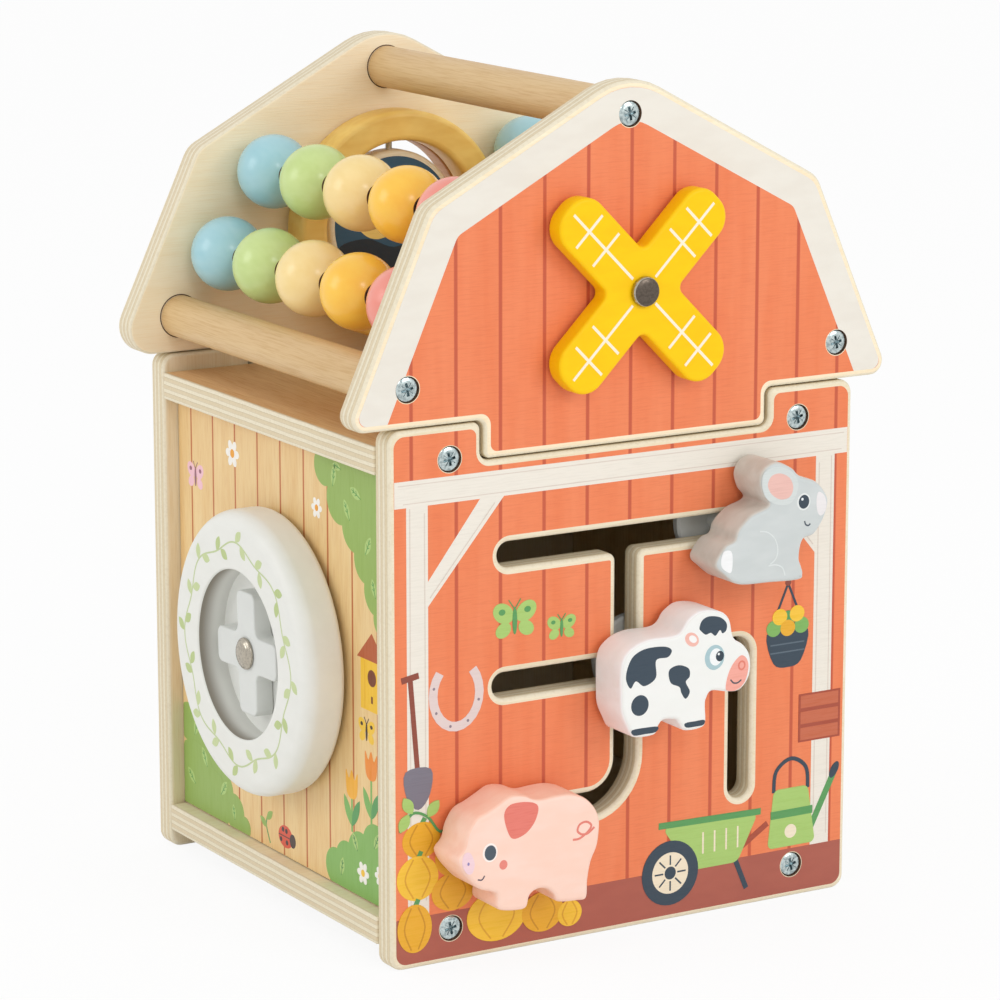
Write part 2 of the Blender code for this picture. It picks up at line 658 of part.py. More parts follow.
def rivet_profile(shank, head, head_height, length, tail):
    """A domed rivet, its head up and the underside of its head at zero."""
    dome = [
        (head / 2, head_height / 3),
        (head / 2 - head_height / 2, head_height * 5 / 6),
        (head / 4, head_height),
        (0, head_height),
    ]
    return [
        (0, -length - RIVET_TAIL_HEIGHT), (tail / 2, -length - RIVET_TAIL_HEIGHT),
        (tail / 2, -length), (shank / 2, -length), (shank / 2, 0), (head / 2, 0),
    ] + dome


def hole_mesh(name, diameter, length):
    """A round cutter centred on the origin, along Z."""
    radius = diameter / 2 + RUNNING
    profile = [(0, -length / 2), (radius, -length / 2), (radius, length / 2), (0, length / 2)]
    return turned_mesh(name, profile, PEG_STEPS)


def make_windmill(base, pieces):
    """The yellow cross on its rivet; its origin lies on the rivet's axis."""
    yellow = material("yellow_paint", (0.96, 0.58, 0.01), 0.3)
    steel = material("rivet_steel", (0.55, 0.52, 0.48), 0.3, 1.0)
    mesh = plate_mesh("windmill", [rounded_loop(windmill_corners()[::-1])],
                      WINDMILL_THICKNESS, WINDMILL_EDGE)
    middle = -WINDMILL_STANDOFF - WINDMILL_THICKNESS / 2
    wings = add_piece("windmill", mesh, yellow, base, (0, middle, WINDMILL_Z), FACING_FRONT)
    reach = WINDMILL_STANDOFF + WINDMILL_THICKNESS + GAP
    profile = rivet_profile(WINDMILL_PIN_DIAMETER, WINDMILL_HEAD_DIAMETER, WINDMILL_HEAD_HEIGHT,
                            reach + PLY + GAP, WINDMILL_HEAD_DIAMETER)
    add_piece("windmill_rivet", turned_mesh("windmill_rivet", profile, PEG_STEPS), steel, base,
              (0, -reach, WINDMILL_Z), FACING_FRONT)
    bore = hole_mesh("windmill bore", WINDMILL_PIN_DIAMETER, 2 * (reach + PLY + OVERRUN))
    tool = cutter("windmill_bore", bore, base, (0, 0, WINDMILL_Z), FACING_FRONT)
    cut(wings, tool)
    cut(pieces["front_gable"], tool)


def make_flip_disc(base):
    """The yellow ring on the rear gable and the disc that flips on an upright pin in it."""
    yellow = material("ring_paint", (0.85, 0.56, 0.12), 0.3)
    blue = material("disc_print", (0.05, 0.13, 0.20), 0.4)
    steel = material("pin_steel", (0.6, 0.6, 0.6), 0.3, 1.0)
    loops = [
        circle_loop(0, 0, FLIP_RING_DIAMETER),
        circle_loop(0, 0, FLIP_OPENING_DIAMETER),
    ]
    ring_middle = REAR_INSIDE - GAP - FLIP_RING_THICKNESS / 2
    ring = add_piece("flip_ring", plate_mesh("flip_ring", loops, FLIP_RING_THICKNESS, FLIP_RING_EDGE),
                     yellow, base, (0, ring_middle, FLIP_Z), FACING_FRONT)
    pin_length = FLIP_OPENING_DIAMETER + 2 * FLIP_PIN_SEAT
    groove_width = FLIP_PIN_DIAMETER + 2 * RUNNING
    groove_front = FLIP_AXIS_Y - groove_width / 2
    groove_depth = REAR_INSIDE + OVERRUN - groove_front
    groove = box_mesh("pin groove", groove_width, groove_depth, pin_length + 2 * GAP)
    cut(ring, cutter("pin_groove", groove, base, (0, groove_front + groove_depth / 2, FLIP_Z)))

    axis = empty("flip_axis", (0, FLIP_AXIS_Y, FLIP_Z), base)
    disc = plate_mesh("flip_disc", [circle_loop(0, 0, FLIP_DISC_DIAMETER)],
                      FLIP_DISC_THICKNESS, FLIP_DISC_EDGE, 1)
    flip = add_piece("flip_disc", disc, blue, axis, (0, 0, 0), FACING_FRONT)
    bore = hole_mesh("flip bore", FLIP_PIN_DIAMETER, FLIP_DISC_DIAMETER + 2 * OVERRUN)
    cut(flip, cutter("flip_bore", bore, axis))
    pin_radius = FLIP_PIN_DIAMETER / 2
    pin = [(0, -pin_length / 2), (pin_radius, -pin_length / 2), (pin_radius, pin_length / 2),
           (0, pin_length / 2)]
    add_piece("flip_pin", turned_mesh("flip_pin", pin, SCREW_STEPS), steel, base,
              (0, FLIP_AXIS_Y, FLIP_Z))


def spider_corners():
    """The raised cross in the wheel's window, its arm ends on a circle."""
    half = SPIDER_ARM_WIDTH / 2
    end = math.sqrt((SPIDER_DIAMETER / 2) ** 2 - half ** 2)
    corners = []
    for quarter in range(4):
        turn = Matrix.Rotation(SPIDER_TURN + quarter * math.pi / 2, 2)
        arm = [(end, -half, SPIDER_ARM_ROUND), (end, half, SPIDER_ARM_ROUND), (half, half, SPIDER_ARM_ROUND)]
        corners += [(*(turn @ Vector((x, z))), radius) for x, z, radius in arm]
    return corners


def make_wheel(base, pieces):
    """The white side wheel, the raised cross in its window and the rivet it turns on."""
    white = material("white_paint", (0.84, 0.84, 0.80), 0.3)
    grey = material("grey_paint", (0.72, 0.73, 0.71), 0.35)
    steel = material("wheel_rivet_steel", (0.6, 0.58, 0.55), 0.3, 1.0)
    outer = WHEEL_DIAMETER / 2
    window = WHEEL_WINDOW_DIAMETER / 2
    bore = WHEEL_PIN_DIAMETER / 2 + RUNNING
    floor = WHEEL_THICKNESS - WHEEL_WINDOW_DEPTH
    profile = [(bore, 0)]
    profile += arc_profile(outer - WHEEL_BACK_ROUND, WHEEL_BACK_ROUND, WHEEL_BACK_ROUND, -90, 0, 2)
    profile += arc_profile(outer - WHEEL_FRONT_ROUND, WHEEL_THICKNESS - WHEEL_FRONT_ROUND,
                           WHEEL_FRONT_ROUND, 0, 90, 4)
    profile += [(window + WHEEL_WINDOW_LIP, WHEEL_THICKNESS), (window, WHEEL_THICKNESS - WHEEL_WINDOW_LIP),
                (window, floor), (bore, floor)]
    back = SIDE_OUTSIDE + WHEEL_STANDOFF
    wheel = turned_mesh("side_wheel", profile, WHEEL_STEPS, hollow=True)
    add_piece("side_wheel", wheel, white, base, (-back, MIDDLE_Y, WHEEL_Z), FACING_LEFT)

    spider_back = back + floor + GAP
    mesh = plate_mesh("wheel_spider", [rounded_loop(spider_corners()[::-1])],
                      SPIDER_THICKNESS, SPIDER_EDGE, 1)
    spider = add_piece("wheel_spider", mesh, grey, base,
                       (-spider_back - SPIDER_THICKNESS / 2, MIDDLE_Y, WHEEL_Z), FACING_LEFT)
    head_foot = spider_back + SPIDER_THICKNESS + GAP
    inside = SIDE_OUTSIDE - SIDE_PANEL - GAP
    rivet = rivet_profile(WHEEL_PIN_DIAMETER, WHEEL_HEAD_DIAMETER, WHEEL_HEAD_HEIGHT,
                          head_foot - inside, WHEEL_HEAD_DIAMETER)
    add_piece("wheel_rivet", turned_mesh("wheel_rivet", rivet, PEG_STEPS), steel, base,
              (-head_foot, MIDDLE_Y, WHEEL_Z), FACING_LEFT)
    hole = hole_mesh("wheel bore", WHEEL_PIN_DIAMETER, 2 * (head_foot - inside + OVERRUN))
    tool = cutter("wheel_bore", hole, base, (-inside, MIDDLE_Y, WHEEL_Z), FACING_LEFT)
    cut(spider, tool)
    cut(pieces["left_side_panel"], tool)


def figure_list():
    return [
        ("rabbit", RABBIT_PEG_X, TOP_SLOT_Z, RABBIT_OUTLINE_SHARES, RABBIT_WIDTH, RABBIT_HEIGHT,
         RABBIT_PEG_SHARES, (0.60, 0.64, 0.63)),
        ("cow", COW_PEG_X, MIDDLE_SLOT_Z, COW_OUTLINE_SHARES, COW_WIDTH, COW_HEIGHT,
         COW_PEG_SHARES, (0.90, 0.90, 0.88)),
        ("pig", PIG_PEG_X, LOWER_SLOT_Z, PIG_OUTLINE_SHARES, PIG_WIDTH, PIG_HEIGHT,
         PIG_PEG_SHARES, (0.93, 0.60, 0.48)),
    ]


def make_figures(base):
    """Three animals, each on a peg that slides in the maze behind a round flange."""
    white = material("peg_plastic", (0.75, 0.76, 0.75), 0.4)
    flange_front = PLY + PEG_FLANGE_GAP
    peg_front = -FIGURE_STANDOFF - PEG_SOCKET_DEPTH + GAP
    flange = PEG_FLANGE_DIAMETER / 2
    flange_back = flange_front + PEG_FLANGE_THICKNESS
    edge = PEG_FLANGE_EDGE
    peg = PEG_DIAMETER / 2
    profile = [
        (0, peg_front), (peg, peg_front), (peg, flange_front), (flange - edge, flange_front),
        (flange, flange_front + edge), (flange, flange_back - edge), (flange - edge, flange_back),
        (0, flange_back),
    ]
    socket_diameter = PEG_DIAMETER
    for name, across, height, shares, width, tall, peg_shares, colour in figure_list():
        axis = empty(f"{name}_axis", (across, 0, height), base)
        mesh = figure_mesh(name, shares, width, tall, peg_shares)
        finish = material(f"{name}_paint", colour, 0.3)
        middle = -FIGURE_STANDOFF - FIGURE_THICKNESS / 2
        figure = add_piece(name, mesh, finish, axis, (0, middle, 0), FACING_FRONT)
        socket = hole_mesh(f"{name} socket", socket_diameter, 2 * PEG_SOCKET_DEPTH)
        tool = cutter(f"{name}_socket", socket, axis, (0, -FIGURE_STANDOFF, 0), FACING_FRONT)
        cut(figure, tool)
        add_piece(f"{name}_peg", turned_mesh(f"{name}_peg", profile, PEG_STEPS), white,
                  axis, (0, 0, 0), FACING_REAR)


def main():
    clear_scene()
    base = empty("front_face", (0, FRONT_Y, 0))
    pieces = make_box(base)
    pieces.update(make_roof(base))
    make_screws(base, pieces)
    make_beads(base, pieces)
    make_windmill(base, pieces)
    make_flip_disc(base)
    make_wheel(base, pieces)
    make_figures(base)


main()
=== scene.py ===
# %% [markdown]
# # Dressing a wooden barn activity cube
#
# The solids of this toy come from its CAD model. This lesson gives them their looks in
# Blender: birch plywood with its striped edges, printed planks, painted beads and animals,
# screws and rivets. Sizes are in millimetres, counted from the front panel's face
# (x across, y to the rear, z up), and one helper turns them into the scene's metres.

# %% Setup
import math

import bmesh
import bpy
from mathutils import Matrix, Vector


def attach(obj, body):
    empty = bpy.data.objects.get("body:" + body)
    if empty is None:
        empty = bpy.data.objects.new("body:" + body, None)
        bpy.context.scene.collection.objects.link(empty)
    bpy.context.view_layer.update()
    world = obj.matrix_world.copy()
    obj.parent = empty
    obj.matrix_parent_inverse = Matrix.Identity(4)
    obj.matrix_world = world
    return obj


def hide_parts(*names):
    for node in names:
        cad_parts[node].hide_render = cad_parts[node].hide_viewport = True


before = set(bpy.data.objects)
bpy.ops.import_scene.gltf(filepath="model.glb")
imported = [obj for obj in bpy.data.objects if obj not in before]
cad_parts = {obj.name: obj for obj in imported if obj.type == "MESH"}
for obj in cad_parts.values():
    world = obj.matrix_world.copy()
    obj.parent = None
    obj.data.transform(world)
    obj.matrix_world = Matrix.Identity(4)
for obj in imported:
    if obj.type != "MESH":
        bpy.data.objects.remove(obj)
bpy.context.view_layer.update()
MM = 0.001
FRONT_FACE = -80.0          # the front panel's face in the scene, in mm along Y


def place(x, y, z):
    """A point of the toy, in metres in the scene."""
    return Vector((x, y + FRONT_FACE, z)) * MM


# %% [markdown]
# ## Colours and nodes
#
# Colours are written as a paint maker gives them, in hex, and one function turns them into
# the linear numbers that a shader wants. Every material starts from one Principled shader,
# and one small function adds each further node. Its inputs come in the order in which the
# editor shows them, or by name, and it gives back the output that is linked onward.

# %% Colours
def linear(colour):
    """An sRGB hex colour as linear red, green, blue and alpha."""
    parts = [int(colour[i:i + 2], 16) / 255 for i in (1, 3, 5)]
    return (*[c / 12.92 if c <= 0.04045 else ((c + 0.055) / 1.055) ** 2.4 for c in parts], 1.0)


print("a mid grey in linear numbers:", [round(c, 3) for c in linear("#808080")])


# %% Adding a node
def add(tree, kind, inputs=(), take=0, **settings):
    """Adds a node with its settings and links, and gives back one of its outputs."""
    node = tree.nodes.new("ShaderNode" + kind)
    for name, value in settings.items():
        setattr(node, name, value)
    shown = [socket for socket in node.inputs if socket.enabled]
    for key, value in inputs.items() if isinstance(inputs, dict) else enumerate(inputs):
        socket = node.inputs[key] if isinstance(key, str) else shown[key]
        if isinstance(value, bpy.types.NodeSocket):
            tree.links.new(value, socket)
        else:
            socket.default_value = value
    return node.outputs[take] if isinstance(take, str) else [s for s in node.outputs if s.enabled][take]


# %% Starting and ending a material
def new_material(name, metallic=0.0, specular=0.5):
    """A material with one Principled shader; its IOR stays at the usual 1.5 of paint and wood."""
    material = bpy.data.materials.new(name)
    material.use_nodes = True
    tree = material.node_tree
    shader = tree.nodes["Principled BSDF"]
    shader.inputs["Metallic"].default_value = metallic
    shader.inputs["Specular IOR Level"].default_value = specular
    return material, tree, shader


def surface(tree, shader, colour, relief, depth_mm, low_rough, high_rough):
    """Links the colour, and lets one pattern drive both the roughness and the relief."""
    roughness = add(tree, "MapRange", [relief, 0.0, 1.0, low_rough, high_rough])
    bumps = add(tree, "Bump", {"Height": relief, "Distance": depth_mm * MM})
    for output, socket in ((colour, "Base Color"), (roughness, "Roughness"), (bumps, "Normal")):
        tree.links.new(output, shader.inputs[socket])


def fibre_noise(tree, along, width_mm, length_mm, detail=3.0):
    """Noise drawn out along one axis of the toy, as wood fibres are."""
    scale = [1 / (width_mm * MM)] * 3
    scale["XYZ".index(along)] = 1 / (length_mm * MM)
    stretched = add(tree, "Mapping", {"Vector": add(tree, "TexCoord", take="Object"), "Scale": scale})
    return add(tree, "TexNoise", {"Vector": stretched, "Scale": 1.0, "Detail": detail, "Roughness": 0.6})


print("a material gets its colour, its roughness and its relief")

# %% [markdown]
# ## Wood
#
# The panels are birch veneer, the dowels solid beech. Both are sanded and left with a thin
# clear sealer, so the eye gets slow bands of warmer tone, thin darker fibres and a soft
# sheen. A scanned picture of a plank would do too, but it has a seam and one fixed size;
# noise drawn out along the fibres fits every piece. A real fibre is about 0.05 mm wide; it
# is drawn 0.45 mm wide, because a pixel of the picture covers 0.3 mm.

# %% Sanded wood
FIBRE_MM, FIBRE_RUN_MM = 0.45, 14.0
BAND_MM, BAND_RUN_MM = 9.0, 120.0
FIBRE_SHARE, BAND_SHARE = 0.5, 0.45     # how far fibres and bands go towards the dark tone
WOOD_RELIEF_MM = 0.03


def wood(name, light, dark, along, roughness=0.5, contrast=1.0):
    material, tree, shader = new_material(name)
    bands = add(tree, "MapRange", [fibre_noise(tree, along, BAND_MM, BAND_RUN_MM, 2.0), 0.3, 0.7],
                interpolation_type="SMOOTHSTEP")
    fibres = add(tree, "MapRange", [fibre_noise(tree, along, FIBRE_MM, FIBRE_RUN_MM), 0.42, 0.7],
                 interpolation_type="SMOOTHSTEP")
    warm = add(tree, "Math", [bands, BAND_SHARE * contrast], operation="MULTIPLY")
    share = add(tree, "Math", [fibres, FIBRE_SHARE * contrast, warm], operation="MULTIPLY_ADD")
    tone = add(tree, "Mix", [share, linear(light), linear(dark)], data_type="RGBA")
    surface(tree, shader, tone, fibres, WOOD_RELIEF_MM, roughness - 0.04, roughness + 0.1)
    return material


# birch veneer, rotary peeled: pale and even, bands as wide as a finger
birch_across = wood("birch_veneer_across", "#F0E5CB", "#E4D3AE", "X")
birch_upright = wood("birch_veneer_upright", "#EDE0C4", "#E0CCA4", "Z")
# the same veneer on the roof plates, fresher and a shade smoother, so it looks warmer
birch_inner = wood("birch_veneer_inner_face", "#FBECCE", "#F4DCB1", "X", 0.45, 0.8)
# unsealed veneer inside the box: duller and browner, seen only as dark depth in the slots
inner_wood = wood("birch_inside_box", "#E3CFA6", "#CFB383", "Z")
# stained birch veneer, brown as a hay loft's boards
loft_stain = wood("stained_birch_loft", "#ECC490", "#D2A067", "Y", 0.42, 1.1)
# the cut rim of the rear plate's round hole: end grain, darker because it drinks the sealer, and painted darker
# still for the shade inside the opening
rim_in_painted_shade = wood("birch_rim_in_painted_shade", "#C99565", "#A9713F", "Y", 0.5)
# painted shadow: a dark brown that stands for the shade in the gaps round screw heads and dowel ends
painted_bore_shadow = wood("birch_bore_shadow_line", "#5C3D26", "#452C1A", "Y", 0.7)
print("wood:", birch_across.name, loft_stain.name, rim_in_painted_shade.name)

# %% [markdown]
# ## Plywood edges
#
# Seven veneers are glued crosswise, so a sawn edge shows pale and darker stripes with
# hair-thin glue lines: 10 mm of ply make stripes of 1.4 mm. Strips of mesh could carry the
# stripes, but here they come from the distance through the sheet, so that they also run
# round the rounded rims and through the slots.

# %% Striped plywood edge
PLY = 10.0                  # mm, the thickness of every plate and board
VENEERS = 7
GLUE_SHARE = 0.14           # of a stripe: 0.2 mm, drawn twice as wide as a real glue line
TOY_DEPTH = 180.0           # from the front panel's face to the rear panel's face
TOP_BOARD, BOTTOM_BOARD = 173.5, 7.3        # heights of the boards' lower faces


def ply_edge(name, axis, start_mm):
    """Stripes counted from start_mm along the axis that goes through the sheet."""
    material, tree, shader = new_material(name)
    coordinates = add(tree, "TexCoord", take="Object")
    across = add(tree, "SeparateXYZ", [coordinates], take=axis)
    wander = add(tree, "TexNoise", {"Vector": coordinates, "Scale": 60.0})
    shift = add(tree, "Math", [wander, 0.3, -0.15], operation="MULTIPLY_ADD")
    depth = add(tree, "Math", [across, start_mm * MM], operation="SUBTRACT")
    layer = add(tree, "Math", [depth, VENEERS / (PLY * MM), shift], operation="MULTIPLY_ADD")
    in_layer = add(tree, "Math", [layer], operation="FRACT")
    glue = add(tree, "Math", [in_layer, 1 - GLUE_SHARE], operation="GREATER_THAN")
    half = add(tree, "Math", [layer, 0.5], operation="MULTIPLY")
    odd = add(tree, "Math", [add(tree, "Math", [half], operation="FRACT"), 0.5], operation="GREATER_THAN")
    pores = add(tree, "TexNoise", {"Vector": coordinates, "Scale": 900.0, "Detail": 2.0})
    tone = add(tree, "Mix", [odd, linear("#ECE2C9"), linear("#DFCFAE")], data_type="RGBA")
    lines = add(tree, "Math", [glue, 0.5], operation="MULTIPLY")
    tone = add(tree, "Mix", [lines, tone, linear("#B9A785")], data_type="RGBA")
    specks = add(tree, "MapRange", [pores, 0.45, 0.7, 0.0, 0.16])
    tone = add(tree, "Mix", [specks, tone, linear("#B99F73")], data_type="RGBA")
    surface(tree, shader, tone, pores, 0.04, 0.48, 0.62)
    return material


front_edge = ply_edge("front_ply_edge", "Y", FRONT_FACE)
rear_edge = ply_edge("rear_ply_edge", "Y", FRONT_FACE + TOY_DEPTH - PLY)
top_edge = ply_edge("top_board_ply_edge", "Z", TOP_BOARD)
bottom_edge = ply_edge("bottom_board_ply_edge", "Z", BOTTOM_BOARD)
print("a stripe is", round(PLY / VENEERS, 2), "mm wide")

# %% [markdown]
# ## Printed planks and inks
#
# The barn's boards are screen printed on the veneer, so their joints are lines of darker
# ink at an even pitch, and the fibres still show a little through the matt ink. The lines
# are worked out from the place across the wall, which keeps them sharp at any distance.

# %% Plank print
PLANK_PITCH = 17.5
INK_FIBRE_MM, INK_FIBRE_RUN_MM = 0.5, 9.0      # finer fibres would not show at this size
INK_RELIEF_MM, INK_ROUGH_LOW, INK_ROUGH_HIGH = 0.02, 0.42, 0.52


def ink_fibres(tree, along):
    """The veneer's fibres as they press through the ink."""
    return add(tree, "MapRange", [fibre_noise(tree, along, INK_FIBRE_MM, INK_FIBRE_RUN_MM), 0.42, 0.75],
               interpolation_type="SMOOTHSTEP")


def plank_print(name, ground, deep, line, axis, first_mm, line_mm, fibre_along):
    """Screen print on veneer: matt ink, the tone of each board drifting along its length."""
    material, tree, shader = new_material(name, specular=0.4)
    across = add(tree, "SeparateXYZ", [add(tree, "TexCoord", take="Object")], take=axis)
    plank = add(tree, "Math", [across, 1 / (PLANK_PITCH * MM), -first_mm / PLANK_PITCH],
                operation="MULTIPLY_ADD")
    centred = add(tree, "Math", [add(tree, "Math", [plank], operation="FRACT"), 0.5], operation="SUBTRACT")
    from_middle = add(tree, "Math", [centred], operation="ABSOLUTE")
    half_line = line_mm / PLANK_PITCH / 2
    joint = add(tree, "MapRange", [from_middle, 0.5 - half_line * 1.5, 0.5 - half_line * 0.6],
                interpolation_type="SMOOTHSTEP")
    bands = add(tree, "MapRange", [fibre_noise(tree, "Z", 7.0, 60.0, 2.0), 0.35, 0.7, 0.0, 0.7])
    fibres = ink_fibres(tree, fibre_along)
    thin_ink = add(tree, "Math", [fibres, 0.2], operation="MULTIPLY")
    tone = add(tree, "Mix", [bands, linear(ground), linear(deep)], data_type="RGBA")
    for share in (thin_ink, joint):
        tone = add(tree, "Mix", [share, tone, linear(line)], data_type="RGBA")
    surface(tree, shader, tone, fibres, INK_RELIEF_MM, INK_ROUGH_LOW, INK_ROUGH_HIGH)
    return material


coral_planks = plank_print("coral_plank_print", "#EF885A", "#E97B4B", "#C4593B", "X", 0.8, 1.3, "X")
straw_planks = plank_print("straw_plank_print", "#F0D29A", "#E6BE80", "#BF6A38", "Y",
                           FRONT_FACE + 1.6, 1.0, "Z")
print("boards are", PLANK_PITCH, "mm wide")


# %% Screen ink of the motifs
def screen_ink(name, fibre_along):
    """The same matt ink, its colour read from the faces of the motifs."""
    material, tree, shader = new_material(name, specular=0.4)
    ink = add(tree, "Attribute", take="Color", attribute_name="ink")
    fibres = ink_fibres(tree, fibre_along)
    worn = add(tree, "HueSaturation", {"Color": ink, "Value": 0.9, "Saturation": 1.06})
    thin_ink = add(tree, "Math", [fibres, 0.6], operation="MULTIPLY")
    tone = add(tree, "Mix", [thin_ink, ink, worn], data_type="RGBA")
    surface(tree, shader, tone, fibres, INK_RELIEF_MM, INK_ROUGH_LOW, INK_ROUGH_HIGH)
    return material


ink_across = screen_ink("screen_ink_on_front", "X")
ink_upright = screen_ink("screen_ink_on_side", "Z")
print("inks:", ink_across.name, ink_upright.name)

# %% [markdown]
# ## Lacquer and metal
#
# The painted pieces are sprayed with a water-based toy lacquer: satin, nearly smooth, its
# tone drifting by a few percent over a finger's width, with a hint of the grain under it.
# Screws are zinc plated and rivets nickel plated; small parts rub on each other in the
# plating drum, which leaves fine scratches that show as patches of rougher shine. Each
# recipe is written once, and each paint is mixed where its piece is made.

# %% Lacquer and plated steel
def lacquer(name, colour, drift, roughness=0.38, along="Z", share=0.5, depth_mm=0.008, specular=0.35):
    material, tree, shader = new_material(name, specular=specular)
    cloud = add(tree, "MapRange", [fibre_noise(tree, along, 6.0, 16.0, 2.0), 0.3, 0.75, 0.0, share],
                interpolation_type="SMOOTHSTEP")
    grain = fibre_noise(tree, along, 0.6, 8.0)
    tone = add(tree, "Mix", [cloud, linear(colour), linear(drift)], data_type="RGBA")
    surface(tree, shader, tone, grain, depth_mm, roughness - 0.06, roughness + 0.06)
    return material


def plated_steel(name, colour, shade, roughness, patch_mm=1.1, share=0.35):
    material, tree, shader = new_material(name, metallic=1.0)
    coordinates = add(tree, "TexCoord", take="Object")
    scratches = add(tree, "TexNoise", {"Vector": coordinates, "Scale": 1 / (patch_mm * MM), "Detail": 3.0})
    dull = add(tree, "MapRange", [scratches, 0.35, 0.7, 0.0, share], interpolation_type="SMOOTHSTEP")
    tone = add(tree, "Mix", [dull, linear(colour), linear(shade)], data_type="RGBA")
    surface(tree, shader, tone, scratches, 0.01, roughness * 0.7, roughness * 1.4)
    return material


# nickel: warm and bright; drawn steel: a plain grey with the soft shine of the die
nickel = plated_steel("nickel_plated_steel", "#B9B1A2", "#6E6A66", 0.24)
steel_rod = plated_steel("drawn_steel_rod", "#CFCFCF", "#6E6A66", 0.28)
print("metals:", nickel.name, steel_rod.name)

# %% [markdown]
# ## Flat cut-outs
#
# Nearly everything here is sawn from a flat sheet and then rounded along its edges. A
# filled 2D curve does just that: its outline may have holes, its extrude is the sheet's
# thickness and its bevel the rounding. A box with a bevel could not follow these outlines.
# The curve is drawn in its own plane, made a mesh, and then turned into place.

# %% Outlines with rounded corners
ARC_STEPS = 10


def rounded(corners):
    """A closed outline from corners (x, z, radius), each turned by an arc."""
    points = []
    for here, (x, z, radius) in enumerate(corners):
        corner = Vector((x, z))
        before = (Vector(corners[here - 1][:2]) - corner).normalized()
        after = (Vector(corners[(here + 1) % len(corners)][:2]) - corner).normalized()
        half = before.angle(after) / 2
        centre = corner + (before + after).normalized() * (radius / math.sin(half))
        start = corner + before * (radius / math.tan(half)) - centre
        end = corner + after * (radius / math.tan(half)) - centre
        sweep = start.angle_signed(end)
        steps = max(2, round(ARC_STEPS * abs(sweep) / (math.pi / 2)))
        points += [centre + Matrix.Rotation(-sweep * k / steps, 2) @ start for k in range(steps + 1)]
    return points


def oval(x, z, width, height, turn=0.0, steps=36):
    spin = Matrix.Rotation(math.radians(turn), 2)
    return [Vector((x, z)) + spin @ Vector((width / 2 * math.cos(k), height / 2 * math.sin(k)))
            for k in (2 * math.pi * s / steps for s in range(steps))]


print("a square with round corners has", len(rounded([(0, 0, 1), (0, 9, 1), (9, 9, 1), (9, 0, 1)])), "points")


# %% Soft outlines, leaves and lines
def between(a, b, c, d, t):
    """A point on the soft curve from b to c, steered by the points before and after."""
    return 0.5 * (2 * b + (c - a) * t + (2 * a - 5 * b + 4 * c - d) * t * t
                  + (3 * b - a - 3 * c + d) * t ** 3)


def smooth(points, steps=6):
    """A closed outline that bends softly through the given points."""
    points = [Vector(p) for p in points]
    return [between(*(points[(k + j) % len(points)] for j in (-1, 0, 1, 2)), step / steps)
            for k in range(len(points)) for step in range(steps)]


def stroke(points, width):
    """A line of even width through the points."""
    points = [Vector(p) for p in points]
    left, right = [], []
    for k, p in enumerate(points):
        ahead = points[min(k + 1, len(points) - 1)] - points[max(k - 1, 0)]
        across = Vector((-ahead.y, ahead.x)).normalized() * (width / 2)
        left.append(p + across)
        right.append(p - across)
    return left + right[::-1]


def soft_line(points, width, steps=5):
    """A line of even width that bends softly through a few points."""
    points = [Vector(p) for p in points]
    held = [points[0], *points, points[-1]]
    path = [between(*held[k:k + 4], step / steps) for k in range(len(points) - 1) for step in range(steps)]
    return stroke(path + [points[-1]], width)


def leaf(x, z, length, width, turn):
    """A pointed leaf from its stalk at (x, z)."""
    spin = Matrix.Rotation(math.radians(turn), 2)
    side = [Vector((length * t, width / 2 * math.sin(math.pi * t) ** 0.8)) for t in (k / 10 for k in range(11))]
    back = [Vector((p.x, -p.y)) for p in side[-2:0:-1]]
    return [Vector((x, z)) + spin @ p for p in side + back]


print("a leaf has", len(leaf(0, 0, 5, 3, 0)), "points")


# %% Finishing a piece
FLAT = 0.97                 # how squarely a face must look along an axis to count as flat
SMOOTH_BELOW = 35           # degrees


def link(name, data):
    """A new object at the origin."""
    thing = bpy.data.objects.new(name, data)
    bpy.context.scene.collection.objects.link(thing)
    return thing


def mesh_from(work, name):
    """Ends the work on a bmesh."""
    mesh = bpy.data.meshes.new(name)
    work.to_mesh(mesh)
    work.free()
    return mesh


def finish_piece(name, mesh, body, materials, replaced=(), smooth_angle=SMOOTH_BELOW):
    """Links a finished mesh as a piece that rides on a body."""
    piece = link(name, mesh)
    for material in materials:
        mesh.materials.append(material)
    mesh.shade_smooth()
    mesh.set_sharp_from_angle(angle=math.radians(smooth_angle))
    for face in mesh.polygons:          # flat faces stay flat beside their rounded edges
        if max(abs(part) for part in face.normal) > 0.9999:
            face.use_smooth = False
    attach(piece, body)
    if replaced:
        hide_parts(*replaced)
    return piece


def give_faces(mesh, index, belongs):
    """Gives the faces that the test picks the material of that number."""
    for face in mesh.polygons:
        if belongs(face):
            face.material_index = index


print("edges softer than", SMOOTH_BELOW, "degrees are shaded round")


# %% From curve to sheet
FACING = {
    "front": Matrix(((1, 0, 0), (0, 0, -1), (0, 1, 0))).to_4x4(),
    "left": Matrix(((0, 0, -1), (-1, 0, 0), (0, 1, 0))).to_4x4(),
}


